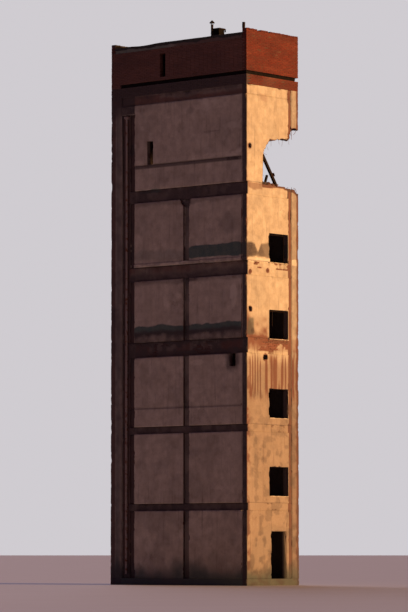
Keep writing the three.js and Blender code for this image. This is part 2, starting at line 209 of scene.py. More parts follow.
def concrete(name, dark, middle, light, stones=0.22, streaked=0.36, specular=0.2):
    """Concrete or render. The mesh's attributes say where it is dirty, green, red, pale or worn, and
    where shade is painted on it.
    """
    s = Shader(name)
    broad = s.noise(0.55, 4)
    cloud = s.noise(2.6, 7, 0.68)
    speckle = s.noise(17, 6, 0.7)
    streaks = s.noise(1.0, 5, 0.62, (6.5, 6.5, 0.42))
    washes = s.noise(1.0, 3, 0.5, (2.3, 2.3, 0.22))
    patch = s.plus(s.times(cloud, 0.6), s.times(speckle, 0.4))
    pebbles = s.cells(34)
    worn = s.ragged(s.attribute("worn"), speckle, 0.4)
    film = s.times(s.spread(s.attribute("green"), 0.1, 0.8), s.spread(patch, 0.3, 0.62, 0.78, 0.97))
    gravel = s.ramp(pebbles, [(0.1, (0.47, 0.4, 0.34)), (0.5, AGGREGATE), (0.8, (0.2, 0.16, 0.13))])
    colour = s.coats(
        s.ramp(cloud, [(0.3, dark), (0.5, middle), (0.7, light)]),
        (s.spread(broad, 0.4, 0.72, 0, 0.32), dark),
        (s.spread(washes, 0.46, 0.7, 0, 0.34), dark),
        (s.spread(streaks, 0.54, 0.74, 0, streaked), GRIME_AND_SHADE),
        (s.spread(speckle, 0.58, 0.75, 0, stones), AGGREGATE),
        (s.ragged(s.attribute("lime"), patch, 0.5), LIME),
        (s.times(worn, 0.8), gravel),
        (s.times(s.ragged(s.attribute("red"), patch, 0.6, 0.36), 0.85), RED_DUST_AND_SHADE),
        (film, ALGAE),
        (s.times(s.attribute("dirt"), s.spread(patch, 0.25, 0.6, 0.7, 1)), GRIME_AND_SHADE),
    )
    height = s.plus(s.times(s.noise(95, 4, 0.6), 0.25), s.times(speckle, 0.75))
    height = s.plus(height, s.times(s.times(worn, pebbles), 1.2))
    return s.finish(colour, s.spread(cloud, 0.3, 0.7, 0.98, 0.86), height, 0.012, 0.8, specular)


def fired_brick():
    """Bricks: each has its own tone, and a share of darkening and lime; on the far gable's inner leaf and
    coping the darkening is painted shade.
    """
    s = Shader("fired_brick")
    cloud = s.noise(7, 6, 0.65)
    pores = s.noise(60, 5, 0.7)
    tone = s.maths("MULTIPLY_ADD", s.attribute("tone"), 0.75, s.times(cloud, 0.3))
    lime = s.attribute("lime")
    tones = [
        (0.15, (0.075, 0.013, 0.011)),
        (0.42, (0.12, 0.019, 0.013)),
        (0.66, (0.16, 0.026, 0.016)),
        (0.92, (0.22, 0.047, 0.028)),
    ]
    colour = s.coats(
        s.ramp(tone, tones),
        (s.spread(pores, 0.55, 0.78, 0, 0.4), (0.1, 0.04, 0.03)),
        (s.times(lime, 0.85), (0.34, 0.235, 0.19)),
        (s.ragged(s.maths("SUBTRACT", lime, 0.3), cloud), (0.46, 0.34, 0.27)),
        (s.ragged(s.attribute("green"), cloud, 0.4), ALGAE),
        (s.times(s.attribute("dirt"), s.spread(cloud, 0.2, 0.6, 0.78, 1)), GRIME_AND_SHADE),
    )
    height = s.plus(s.times(pores, 0.6), cloud)
    return s.finish(colour, s.spread(cloud, 0.3, 0.7, 0.82, 0.96), height, 0.008, 0.7, 0.25)


def lime_mortar():
    s = Shader("lime_mortar")
    sand = s.noise(70, 5, 0.7)
    tones = [(0.3, (0.09, 0.034, 0.024)), (0.55, (0.13, 0.055, 0.038)), (0.75, (0.2, 0.1, 0.068))]
    colour = s.coats(
        s.ramp(s.noise(4, 6, 0.65), tones),
        (s.spread(sand, 0.5, 0.75, 0, 0.35), (0.14, 0.09, 0.07)),
        (s.attribute("dirt"), GRIME_AND_SHADE),
    )
    return s.finish(colour, 0.95, sand, 0.006, 0.8, 0.2)


def roofing_felt():
    """Bitumen felt with slate grit, cracked, faded and mossy in patches."""
    s = Shader("roofing_felt")
    grit = s.noise(150, 4, 0.6)
    cloud = s.noise(1.6, 7, 0.66)
    cracks = s.cells(5.5, "DISTANCE_TO_EDGE")
    tones = [(0.3, (0.018, 0.017, 0.017)), (0.55, (0.045, 0.042, 0.04)), (0.75, (0.1, 0.09, 0.08))]
    colour = s.coats(
        s.ramp(cloud, tones),
        (s.spread(grit, 0.5, 0.72, 0, 0.45), (0.13, 0.12, 0.11)),
        (s.ragged(s.attribute("green"), cloud, 0.6), (0.11, 0.12, 0.06)),
        (s.spread(cracks, 0.0, 0.03, 0.7, 0), (0.012, 0.011, 0.011)),
    )
    height = s.plus(s.times(grit, 0.5), s.spread(cracks, 0, 0.05, 0, 1))
    return s.finish(colour, s.spread(cloud, 0.3, 0.7, 0.72, 0.93), height, 0.006, 0.7, 0.4)


def rusty_steel(name, paint, rust_share, rust_tone=1.0, specular=0.4):
    """Steel with a skin of paint or zinc that rust has broken through."""
    s = Shader(name)
    flakes = s.noise(38, 6, 0.72)
    tones = [(0.3, (0.045, 0.018, 0.012)), (0.5, (0.15, 0.055, 0.026)), (0.68, (0.28, 0.11, 0.045))]
    rust = s.ramp(flakes, [(stop, [part * rust_tone for part in tone]) for stop, tone in tones])
    skin = s.plus(s.times(s.noise(5, 7, 0.68), 0.7), s.times(flakes, 0.3))
    bare = s.spread(skin, 0.62 - 0.3 * rust_share, 0.7 - 0.3 * rust_share)
    height = s.plus(flakes, s.times(bare, -0.5))
    rough = s.spread(flakes, 0.3, 0.7, 0.9, 0.62)
    return s.finish(s.coats((*paint, 1), (bare, rust)), rough, height, 0.004, 0.8, specular)


PANEL = concrete("panel_concrete", (0.42, 0.345, 0.28), (0.56, 0.47, 0.385), (0.68, 0.585, 0.49))
PIER = concrete("pier_concrete", (0.29, 0.24, 0.21), (0.4, 0.34, 0.29), (0.51, 0.44, 0.37))
BEAM = concrete("beam_concrete", (0.22, 0.165, 0.14), (0.3, 0.235, 0.195), (0.4, 0.325, 0.27))
# Near-black concrete for the attic floor slab's edge and the hatch curb; on the inner faces of the far
# wall, the far gable and the left upstand it is painted shade.
SOOT_AND_SHADE_TONES = ((0.008, 0.006, 0.006), (0.013, 0.01, 0.01), (0.022, 0.017, 0.016))
SOOT_AND_SHADE = concrete("sooty_concrete", *SOOT_AND_SHADE_TONES, stones=0.02, streaked=0.06, specular=0.05)
BRICK = fired_brick()
MORTAR = lime_mortar()
FELT = roofing_felt()
STEEL = rusty_steel("rusty_steel", (0.11, 0.085, 0.075), 0.85)
DARK_STEEL = rusty_steel("sooty_steel", (0.017, 0.012, 0.012), 0.45, rust_tone=0.14, specular=0.12)
ZINC = rusty_steel("weathered_zinc", (0.3, 0.235, 0.22), 0.4)
SLOTS = {PANEL: "panel_concrete", PIER: "pier_concrete", BEAM: "beam_concrete"}


# New pieces and their meshes

def added(name, data):
    made = bpy.data.objects.new(name, data)
    bpy.context.scene.collection.objects.link(made)
    return made


def place(name, mesh, slot, materials, replaced=()):
    """Puts a mesh into the scene as a piece of the tower."""
    for material in materials:
        mesh.materials.append(material)
    piece = added(name, mesh)
    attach(piece, "root")
    if replaced:
        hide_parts(*replaced)
    return piece


def mesh_from(bm, name):
    mesh = bpy.data.meshes.new(name)
    bm.to_mesh(mesh)
    bm.free()
    return mesh


def smooth(mesh, angle=38):
    mesh.shade_smooth()
    mesh.set_sharp_from_angle(angle=math.radians(angle))


def read(items, key, kind=float, width=1):
    values = np.empty(len(items) * width, kind)
    items.foreach_get(key, values)
    return values.reshape(-1, width) if width > 1 else values


def store(mesh, name, values):
    layer = mesh.attributes.new(name, "FLOAT", "POINT")
    layer.data.foreach_set("value", np.asarray(values, np.float32))


def coat_faces(mesh, material, chosen):
    """Gives another material to the faces that are chosen."""
    mesh.materials.append(material)
    for face in mesh.polygons:
        if chosen(face):
            face.material_index = len(mesh.materials) - 1


def joined(name, meshes, slots=None):
    """One mesh from several, in order, each with its own material index or the one in slots."""
    bm = bmesh.new()
    for mesh, slot in zip(meshes, slots or itertools.count()):
        start = len(bm.faces)
        bm.from_mesh(mesh)
        bm.faces.ensure_lookup_table()
        for face in bm.faces[start:]:
            face.material_index = slot
    return mesh_from(bm, name)


# Weathered concrete: each CAD solid is cut by a lattice, and its outer skin is worn inwards.

HIDDEN, OUTER, SIDE, BROKEN = range(4)
OUTER_FROM = (3.8, 1.62)


def face_kind(face, low, high, open_inside):
    normal = face.normal
    centre = face.calc_center_median()
    axis = max(range(3), key=lambda i: abs(normal[i]))
    if abs(normal[axis]) < 0.985:
        return BROKEN
    outward = normal[axis] * centre[axis] > 0
    if axis < 2 and outward and abs(centre[axis]) > OUTER_FROM[axis]:
        return OUTER
    in_break = all(start < value < end for start, value, end in zip(BREAK_LOW, centre, BREAK_HIGH))
    if in_break and not (axis < 2 and not outward):
        seated = axis == 2 and any(abs(centre.z - corner.z) < 0.01 for corner in TOP_FLOOR)
        return HIDDEN if seated else BROKEN
    end = (high if normal[axis] > 0 else low)[axis]
    if abs(centre[axis] - end) < 1e-3 or open_inside:
        return HIDDEN
    return SIDE


def cut_lattice(bm, faces, cell, extra=()):
    """Cuts the faces by planes cell apart on each axis, and by the extra (axis, value) planes."""
    verts = dict.fromkeys(vert for face in faces for vert in face.verts)
    edges = dict.fromkeys(edge for face in faces for edge in face.edges)
    geometry = [*verts, *edges, *faces]
    corners = np.array([vert.co for vert in verts])
    planes = list(extra)
    for axis, (low, high) in enumerate(zip(corners.min(axis=0), corners.max(axis=0))):
        count = max(1, round((high - low) / cell))
        planes += [(axis, low + (high - low) / count * i) for i in range(1, count)]
    for axis, value in planes:
        normal = Vector(np.eye(3)[axis])
        cut = {"dist": 0.004, "plane_co": normal * value, "plane_no": normal}
        geometry = bmesh.ops.bisect_plane(bm, geom=geometry, **cut)["geom"]


def edge_distance(points, edges):
    distance = np.full(len(points), 9.0)
    for start, end in edges:
        along = end - start
        t = np.clip((points - start) @ along / (along @ along), 0, 1)
        distance = np.minimum(distance, np.linalg.norm(points - start - t[:, None] * along, axis=1))
    return distance


def mesh_arrays(mesh):
    """Vertex places, normals of the shown faces round each, which kinds of face it touches,
    and the normals of its broken faces."""
    places = read(mesh.vertices, "co", width=3)
    corners = read(mesh.loops, "vertex_index", np.int32)
    totals = read(mesh.polygons, "loop_total", np.int32)
    kinds = np.repeat(read(mesh.attributes["kind"].data, "value", np.int32), totals)
    face_normals = np.repeat(read(mesh.polygons, "normal", width=3), totals, axis=0)
    touched = {kind: np.zeros(len(places), bool) for kind in (OUTER, SIDE, BROKEN)}
    for kind, touches in touched.items():
        touches[corners[kinds == kind]] = True

    def mean_normal(chosen):
        total = np.zeros((len(places), 3))
        np.add.at(total, corners[chosen], face_normals[chosen])
        return total / np.maximum(np.linalg.norm(total, axis=1), 1e-6)[:, None]

    return places, mean_normal(kinds != HIDDEN), touched, mean_normal(kinds == BROKEN)


# Where the wall carries dirt, algae, red dust, lime and worn patches, by its place on the tower, and
# where shade is painted on it

MARKS = ("dirt", "green", "red", "lime", "worn")

# Single marks on the front, at x and z with half sizes, and how strong they are
FRONT_SPOTS = (
    ("dirt", 0.72, 21.8, 0.2, 0.17, 0.3),
    ("dirt", 1.95, 20.72, 0.5, 0.06, 0.4),
    ("lime", 1.9, 21.95, 1.1, 0.3, 0.45),
    ("lime", 2.0, 22.62, 0.5, 0.12, 0.16),
    ("dirt", 3.1, 16.45, 0.55, 0.5, 0.3),
    ("dirt", 0.5, 17.5, 0.36, 0.2, 0.45),
    ("lime", -0.72, 13.2, 0.28, 0.8, 0.45),
    ("lime", 3.35, 13.1, 0.22, 0.75, 0.55),
    ("lime", 1.1, 10.15, 0.55, 0.22, 0.5),
    ("lime", 2.9, 10.1, 0.25, 0.3, 0.45),
    ("dirt", 3.29, 10.22, 0.42, 0.5, 0.75),
    ("lime", -3.4, 23.12, 0.1, 0.06, 0.9),
)
# Pits and holes in the right side, at y and z, with their radius
PITS = ((-1.54, 14.2, 0.07), (-0.33, 14.3, 0.08), (-1.46, 11.5, 0.08))
HOLES = ((-1.61, 19.91, 0.09), (-1.57, 12.49, 0.09), (-0.52, 10.34, 0.12))

# The broken floor edge on the right side at y and z, and the strips where bricks lie bare: the
# heights of their feet and heads, and the share that is bare
BROKEN_EDGE = ((-0.62, 0.52, 0.88, 1.25, 1.6, 1.83), (18.24, 18.33, 18.3, 18.22, 18.13, 18.0))
END_STRIPS = ((14.37, FOURTH_BEAM[1], 0.36), (10.62, THIRD_BEAM[1], 0.5))
FRONT_STRIP = (10.52, THIRD_BEAM[1])


def bare_end(points):
    """Where the render has fallen off the bricks at the ends of two floors."""
    y, z = points.T[1:]
    patches = 0.6 * fractal(points, 0.7, 51, 3) + 0.4 * fractal(points, 0.2, 53, 2)
    bare = np.zeros(len(points))
    for low, high, share in END_STRIPS:
        bare += between(z, low, high, 0.02) * ease(0.96 - share, 1.02 - share, patches)
    return bare * ease(CORNER_JOINT[0], CORNER_JOINT[0] - 0.05, y) * ease(-OUT_Y + 0.04, -OUT_Y + 0.1, y)


def bare_front(points):
    """The same on the front of the third floor's beam."""
    patches = 0.6 * fractal(points, 0.8, 57, 3) + 0.4 * fractal(points, 0.25, 58, 2)
    return ease(0.6, 0.68, patches) * between(points[:, 2], FRONT_STRIP[0], FRONT_STRIP[1] - 0.08, 0.01)


def long_side_marks(points, marks, rough, fine):
    x, y, z = points.T
    dirt, green, red, lime = (marks[name] for name in MARKS[:4])
    recess = OUT_Y - np.abs(y)
    wavy = z + (rough - 0.5) * 0.2 + (fine - 0.5) * 0.1
    panels = between(x, DEEP_JOINT[1], CORNER_STRIP, 0.03)

    # Damp strips over two of the floors, and the stains round the third one
    even = z + (rough - 0.5) * 0.1 + (fine - 0.5) * 0.08
    lowered = 0.5 * (wavy + even)
    over_corner = ease(CORNER_STRIP - 0.02, CORNER_STRIP, x)
    damp = between(even, 14.96, 15.42 + 0.04 * (x - 0.14), 0.05) * ease(0.5, 0.95, x)
    damp += 0.35 * between(wavy, 14.92, 15.45, 0.16) * (1 - over_corner)
    damp += (0.8 + 0.3 * fine) * between(lowered, 11.54, 11.93, 0.06) * (1 - over_corner)
    damp += 0.8 * between(wavy, 18.1, 18.3, 0.05) * between(x, -2.4, -1.1, 0.3)
    green += damp * np.maximum(panels, over_corner)
    stained = between(lowered, 11.1, 11.7, 0.08) * panels
    dirt += stained * (0.45 + 0.45 * fine + 0.3 * ease(11.35, 11.55, lowered))
    green += 0.3 * stained * ease(0.45, 0.65, fine)
    third = between(z, *THIRD_BEAM, 0.02) * panels
    dirt += third * (0.28 + 0.35 * ease(0.35, 0.65, fine)) * (1 - 0.4 * ease(2.4, 2.8, x))
    red += third * (0.12 + 0.32 * ease(0.45, 0.7, rough) + 0.2 * ease(2.4, 2.8, x))
    foot = 0.3 * between(z, 10.48, 10.74, 0.03) * panels
    dirt += foot
    red += foot
    lime += 0.85 * between(z + 0.04 * (x - 0.75), 11.08, 11.24, 0.04) * between(x, 0.75, 2.45, 0.15)

    # Beams, the ring beam and the soot under them
    across = np.maximum(panels, 1.3 * between(x, *DEEP_JOINT, 0.02))
    beams = ease(0.085, 0.098, recess) * ease(0.112, 0.104, recess) * across
    cleaner = between(z, 10.4, 11.3, 0.05) * (x > DEEP_JOINT[1])
    dirt += beams * (0.4 + 0.25 * ease(0.3, 0.7, fine)) * (1 - 0.9 * cleaner)
    red += beams * (0.1 + 0.25 * ease(0.3, 0.75, rough))
    fourth = between(z, *FOURTH_BEAM, 0.02) * beams
    dirt -= fourth * (0.1 + 0.42 * ease(14.25, 14.5, wavy))
    red += 0.2 * fourth * ease(14.3, 14.55, wavy)
    dirt += 0.5 * between(z, 13.9, 14.06, 0.05) * between(x, 0.3, 1.2, 0.15)
    ring = between(z, RING_BOTTOM, RING_TOP, 0.01)
    dirt += ring * (0.2 + 0.25 * ease(0.35, 0.6, fine) + 0.25 * ease(22.5, 22.7, wavy))
    red += ring * (0.25 + 0.35 * np.maximum(ease(-0.9, -1.3, x), ease(22.55, 22.4, wavy)))
    red += 0.4 * between(wavy, 13.9, 14.06, 0.05) * ease(0.5, 0.7, fine) * panels
    soot = between(wavy, 13.85, 14.06, 0.06) + between(wavy, 17.51, 17.72, 0.06)
    dirt += 0.35 * soot * panels
    dirt += 0.25 * between(wavy, 22.0, 22.32, 0.1) * panels * ease(-0.5, -1.5, x)

    # Joints, ledges, the column strip and the corner
    face = ease(0.06, 0.03, recess)
    tall = between(z, CHAMBER_JOINT, RING_BOTTOM, 0.02)
    ledge = between(z, *LEDGE, 0.02) * ease(-OUT_Y - 0.015, -OUT_Y - 0.03, -np.abs(y))
    lime += ledge * (0.3 + 0.35 * rough)
    dirt += 0.35 * ledge * ease(0.4, 0.7, fine)
    lime += face * panels * 0.42 * between(z, CHAMBER_JOINT, CHAMBER_JOINT + 0.3, 0.05)
    lime += (0.35 + 0.2 * tall) * ease(0.6, 0.85, rough) * face * (1 - ring)
    dirt += 0.8 * between(z, CHAMBER_JOINT - 0.14, CHAMBER_JOINT + 0.015, 0.02) * panels
    dirt += 0.4 * between(z, 8.1, 8.18, 0.02) * panels + 0.2 * ease(0.55, 0.8, rough)
    dirt += 0.36 * between(x, *COLUMN_STRIP, 0.02) * ease(0.1, 0.125, recess)
    dirt += 0.3 * ease(0.05, 0.08, recess)
    dirt += ease(CORNER_STRIP, CORNER_STRIP + 0.04, x) * (1 - 0.5 * damp)
    red += 0.5 * ease(CORNER_STRIP + 0.1, CORNER_STRIP + 0.2, x)

    # The pier, the pipe chase, the joint beside it and what closes their tops
    chase = between(x, PIER_FRONT_X, DEEP_JOINT[0], 0.01) * ease(0.06, 0.09, recess)
    joint = between(x, *DEEP_JOINT, 0.01) * ease(0.14, 0.17, recess)
    red += 0.85 * chase + 0.8 * joint
    dirt += 0.4 * chase + 0.55 * joint
    dirt += between(x, PIER_FRONT_X, DEEP_JOINT[1], 0.01) * ease(CHASE_TOP - 0.01, CHASE_TOP + 0.01, z)
    pier = ease(PIER_FRONT_X + 0.01, PIER_FRONT_X - 0.01, x)
    edge = ease(-3.84, -3.92, x)
    dirt += pier * (0.42 + 0.15 * ease(0.4, 0.7, fine) + 0.2 * edge + 0.5 * ease(21.6, 22.2, z))
    red += pier * (0.15 + 0.5 * edge)
    green += 0.35 * pier * between(x, -3.84, -3.6, 0.06)
    for mark, spot_x, spot_z, half_x, half_z, strength in FRONT_SPOTS:
        far = np.hypot((x - spot_x) / half_x, (z - spot_z) / half_z) + 0.5 * (fine - 0.5)
        marks[mark] += strength * ease(1.3, 0.6, far)


def end_side_marks(points, marks, rough, fine):
    x, y, z = points.T
    dirt, green, red, lime = (marks[name] for name in MARKS[:4])
    wavy = z + (rough - 0.5) * 0.14 + (fine - 0.5) * 0.1

    # A black strip beside the top window, a damp patch, and the washes of red dust and dirt, which from z
    # = 10.9 down are also painted shade
    notch = 0.42 * np.clip(1 - np.abs(y + 1.06) / 0.24, 0, 1)
    strip = between(wavy, 14.9, 15.54 - notch, 0.06) * ease(-0.16, -0.24, y)
    dirt += strip * (0.72 + 0.28 * ease(-1.0, -1.5, y))
    red += strip * 0.2
    patch = between(wavy, 11.33, 12.1, 0.1) * between(y + 0.2 * (fine - 0.5), -1.75, -1.3, 0.1)
    green += 0.5 * patch
    dirt += 0.4 * patch
    red += 0.5 * between(wavy, 10.9, 12.1, 0.3) * ease(0.2, -0.6, y) * ease(0.35, 0.7, rough)
    streaks = value_noise(points, (1, 0.09, 1.6), 43)
    red += 0.6 * between(wavy, 8.6, 10.6, 0.4) * ease(0.42, 0.7, streaks)
    # Painted shade with real dirt: the side is reddened and darkened from z = 10.9 down, and darkens more
    # in patches towards the bottom below z = 10.3.
    red += 0.45 * ease(10.9, 9.8, wavy) + 0.35 * between(wavy, 10.9, 12.3, 0.3) * ease(-0.2, -0.5, y)
    dirt += 0.22 * ease(10.9, 9.8, wavy)
    dirt += 0.2 * ease(0.6, 0.8, rough) + 0.3 * ease(10.3, 6.0, z) * ease(0.5, 0.75, fine)

    # Both corners, the joint beside the pier, the ledge, and the bare and red parts of the beams
    red += 0.35 * ease(-1.5, -1.82, y) * ease(0.3, 0.6, fine) + 0.6 * ease(-1.8, -1.84, y)
    joint = between(y, CORNER_JOINT[0] - 0.01, CORNER_JOINT[1] + 0.01, 0.01)
    joint *= ease(0.02, 0.035, OUT_X - np.abs(x))
    red += 1.0 * joint + 0.85 * ease(1.66, 1.74, y + 0.08 * (fine - 0.5))
    dirt += 0.15 * joint + 0.25 * ease(1.68, 1.76, y)
    lime += 0.8 * between(z, 14.69, 14.88, 0.02) + 0.45 * ease(0.55, 0.8, rough)
    red += 0.5 * ease(0.2, 0.8, bare_end(points)) + 0.4 * between(wavy, 10.62, 11.3, 0.08)
    red += 0.55 * between(wavy, 17.98, 18.28, 0.05) * ease(-0.6, -0.75, y)
    red += 0.45 * between(wavy, 22.0, 22.4, 0.08) * between(y, -1.0, -0.3, 0.2)

    # Rings round the holes and pits, and the rim of the broken floor edge
    for hole_y, hole_z, half in HOLES + PITS:
        near = np.hypot(y - hole_y, z - hole_z)
        red += 0.9 * ease(half + 0.08, half + 0.01, near)
        dirt += 0.55 * ease(half + 0.02, half - 0.03, near)
        lime -= ease(half + 0.12, half + 0.02, near)
    line = np.interp(y, *BROKEN_EDGE)
    rim = between(z + 0.05 * (fine - 0.5), line - 0.17, line + 0.4, 0.02)
    rim *= ease(-0.72, -0.64, y) * (z < 18.8)
    red += 1.1 * rim
    dirt += rim * (0.25 + 0.35 * ease(0.4, 0.9, y))
    lime -= rim


def wall_marks(points, normals, touched, exposed):
    marks = {name: np.zeros(len(points)) for name in MARKS}
    rough = fractal(points, 1.1, 5)
    fine = fractal(points, 0.3, 9)
    long_side = np.abs(normals[:, 1]) >= np.abs(normals[:, 0])
    for select, paint in ((long_side, long_side_marks), (~long_side, end_side_marks)):
        chosen = {name: values[select] for name, values in marks.items()}
        paint(points[select], chosen, rough[select], fine[select])
        for name, values in chosen.items():
            marks[name][select] = values
    damp = ease(1.5, 0.1, points[:, 2] + (rough - 0.5) * 0.8)
    marks["green"] += 0.75 * damp
    marks["dirt"] += 0.35 * damp
    marks["worn"] += 0.6 * exposed
    torn = touched[BROKEN]
    # Painted shade: faces inside the walls and in their reveals, which touch no outer face, are darkened
    # evenly.
    inside = ~touched[OUTER] & ~torn
    marks["dirt"][inside] = 0.82
    marks["lime"][inside | torn] = 0
    for mark, more in (("red", 0.75), ("worn", 0.5), ("dirt", 0.3)):
        marks[mark][torn] += more
    return {name: np.clip(values, 0, 1) for name, values in marks.items()}


# How deep the wear goes, in metres
ROUGHNESS = 0.007
GRAIN = 0.003
SPALL_DEPTH = 0.018
CHIP_DEPTH = 0.05
WORN_ARRIS = 0.006
JOINT_DEPTH = 0.014
BARE_END_DEPTH = 0.024
BARE_FRONT_DEPTH = 0.02
PIT_DEPTH = 0.06
TORN_DEPTH = 0.2


def worn_skin(name, cell, open_inside, extra):
    """A CAD solid with whole flat faces, cut by a lattice, and its sharp shown edges."""
    bm = bmesh.new()
    bm.from_mesh(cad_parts[name].data)
    bmesh.ops.remove_doubles(bm, verts=bm.verts, dist=1e-4)
    bmesh.ops.dissolve_limit(bm, angle_limit=0.01, verts=bm.verts, edges=bm.edges)
    bm.normal_update()
    kind = bm.faces.layers.int.new("kind")
    for face in bm.faces:
        face[kind] = face_kind(face, *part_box(name), open_inside)
    sharp = [
        [np.array(vert.co) for vert in edge.verts]
        for edge in bm.edges
        if len(edge.link_faces) == 2 and edge.calc_face_angle() > 0.5
        and any(face[kind] in (OUTER, BROKEN) for face in edge.link_faces)
    ]
    cut_lattice(bm, [face for face in bm.faces if face[kind] != HIDDEN], cell, extra)
    return mesh_from(bm, name + "_worn"), sharp


def weathered(
    name, material, cell, seed, spalls=0.5, chips=1.0, skin=0, open_inside=False, extra=(), slot=None,
):
    """A worn copy of a CAD solid, which it replaces. Wear only ever takes material away."""
    mesh, sharp = worn_skin(name, cell, open_inside, extra)
    points, normals, touched, torn = mesh_arrays(mesh)
    near = edge_distance(points, sharp)
    rough = fractal(points, 1.3, 31 + seed)
    coarse = fractal(points, 0.42, 67 + seed)
    fine = fractal(points, 0.16, 83 + seed)
    spalled = ease(1.02 - 0.34 * spalls, 1.1 - 0.34 * spalls, rough + 0.28 * (fine - 0.5))
    chipped = ease(0.52, 0.85, 0.6 * coarse + 0.4 * fine) * ease(0.1, 0.0, near) * chips
    inward = skin + ROUGHNESS * rough + GRAIN * fine + SPALL_DEPTH * spalled
    inward += CHIP_DEPTH * chipped + WORN_ARRIS * ease(0.04, 0, near) * fine
    inward += JOINT_DEPTH * between(points[:, 2], *PANEL_JOINT_Z, 0.008) * (np.abs(normals[:, 1]) > 0.5)
    inward += BARE_END_DEPTH * ease(0.3, 0.6, bare_end(points)) * (normals[:, 0] > 0.7)
    on_beam = (normals[:, 1] < -0.7) * (points[:, 1] > BEAM_FRONT - 0.01)
    inward += BARE_FRONT_DEPTH * ease(0.3, 0.6, bare_front(points)) * on_beam
    inward[~touched[OUTER]] *= 0.35
    for pit_y, pit_z, radius in PITS:
        dent = ease(radius * 1.3, radius * 0.4, np.hypot(points[:, 1] - pit_y, points[:, 2] - pit_z))
        inward += PIT_DEPTH * dent * (normals[:, 0] > 0.5)
    inward[~(touched[OUTER] | touched[SIDE])] = 0
    jag = fractal(points, 0.36, 7, 3) - 0.5 + 0.5 * (fractal(points, 0.13, 8, 2) - 0.5)
    torn_out = (jag - 0.1) * TORN_DEPTH * touched[BROKEN]
    moved = points - normals * inward[:, None] + torn * torn_out[:, None]
    mesh.vertices.foreach_set("co", moved.ravel())
    mesh.attributes.remove(mesh.attributes["kind"])
    exposed = np.maximum(0.8 * spalled, ease(0.3, 0.7, chipped))
    for mark, values in wall_marks(points, normals, touched, exposed).items():
        store(mesh, mark, values * (material is not SOOT_AND_SHADE))
    mesh.update()
    smooth(mesh)
    return place(name + "_worn", mesh, slot or SLOTS[material], [material], [name]).data


def weathered_beam(name, seed):
    """A beam whose ends on the short sides are rendered over like the panels."""
    mesh = weathered(name, BEAM, SHOWN_CELL, seed, 0.9, open_inside=True)
    coat_faces(
        mesh, PANEL,
        lambda face: abs(face.normal.x) > 0.7 and OUT_X - 0.06 < abs(face.center.x) < OUT_X,
    )


SHOWN_CELL = 0.06
FAR_CELL = 0.085

for number in range(1, 6):
    joint = [(2, value) for value in PANEL_JOINT_Z] if number == 3 else []
    weathered(f"front_wall_{number}", PANEL, SHOWN_CELL, number, 0.4, extra=joint)
    weathered(f"back_wall_{number}", PANEL, FAR_CELL, 20 + number, 0.4, extra=joint)
    weathered(f"left_wall_{number}", PANEL, FAR_CELL, 40 + number)
    weathered_beam(f"floor_{number}", 80 + number)
    if number > 1:
        weathered(f"right_wall_{number}", PANEL, SHOWN_CELL, 60 + number)
for name in ("right_wall_1_front", "right_wall_1_back", "right_wall_1_over_door", "right_wall_top"):
    weathered(name, PANEL, SHOWN_CELL, 71)
for name in ("front_apron", "front_wall_top"):
    weathered(name, PANEL, SHOWN_CELL, 77, 0.3)
weathered("back_wall_top", PANEL, FAR_CELL, 79, 0.3)

# The far wall's inner face shows through the slot and the broken corner. Painted shade: that face, which
# the key light reaches, is coated with the near-black concrete and its marks are cleared.
far_wall = weathered("left_wall_top", PANEL, FAR_CELL, 79, 0.3)
coat_faces(far_wall, SOOT_AND_SHADE, lambda face: face.normal.x > 0.7)
for vert in far_wall.vertices:
    if vert.normal.x > 0.7:
        for mark in MARKS:
            far_wall.attributes[mark].data[vert.index].value = 0

for name in ("pier_front_left", "pier_back_left", "pier_back_right_lower", "pier_back_right_upper"):
    weathered(name, PIER, SHOWN_CELL, 90, 0.6, chips=0.5)
for name in ("foundation_slab", "ring_beam"):
    weathered_beam(name, 97)
weathered("attic_floor_slab", SOOT_AND_SHADE, SHOWN_CELL, 98, 0.9, slot="beam_concrete")


# Brickwork: whole bricks with worn arrises on a core of mortar

BRICK_LENGTH = 0.25
BRICK_DEPTH = 0.12
MORTAR_JOINT = 0.01
COURSE = 0.075
ARRIS = 0.006
CORE_RECESS = 0.011


def arris_block():
    """Corner signs, arris marks and faces of a block with cut edges, for any size of block."""
    bm = bmesh.new()
    bmesh.ops.create_cube(bm, size=2)
    bmesh.ops.bevel(bm, geom=bm.edges[:], offset=0.25, segments=1, affect="EDGES")
    places = np.array([vert.co for vert in bm.verts])
    faces = [[vert.index for vert in face.verts] for face in bm.faces]
    bm.free()
    return np.sign(places), (np.abs(places) < 0.99).astype(float), faces


BLOCK_SIGNS, BLOCK_INSET, BLOCK_FACES = arris_block()


class Blocks:
    """Many small blocks gathered into one mesh."""

    def __init__(self, seed):
        self.random = np.random.default_rng(seed)
        self.points = []
        self.marks = []

    def add(self, low, high, skew=0.002, arris=ARRIS, dirt=0.0, lime=0.0, green=0.0, tone=0.5):
        half = (high - low) / 2
        arris = min(arris, 0.4 * half.min())
        points = (low + high) / 2 + BLOCK_SIGNS * (half - BLOCK_INSET * arris)
        points += BLOCK_SIGNS @ self.random.normal(0, skew, (3, 3))
        points += self.random.normal(0, arris * 0.25, points.shape)
        self.points.append(points)
        self.marks.append((0.7 * tone + 0.3 * self.random.random(), dirt, lime, green))

    def mesh(self, name):
        step = len(BLOCK_SIGNS)
        faces = [
            [index + step * block for index in face]
            for block in range(len(self.points))
            for face in BLOCK_FACES
        ]
        mesh = bpy.data.meshes.new(name)
        mesh.from_pydata(np.concatenate(self.points).tolist(), [], faces)
        for mark, values in zip(("tone", "dirt", "lime", "green"), zip(*self.marks)):
            store(mesh, mark, np.repeat(values, step))
        return mesh


def stretch(start, end, length=BRICK_LENGTH, least=0.03):
    """Where each brick of a course starts and ends. The last one is cut, but not under least."""
    while start < end - least:
        stop = min(start + length, end)
        yield start, stop
        start = stop + MORTAR_JOINT


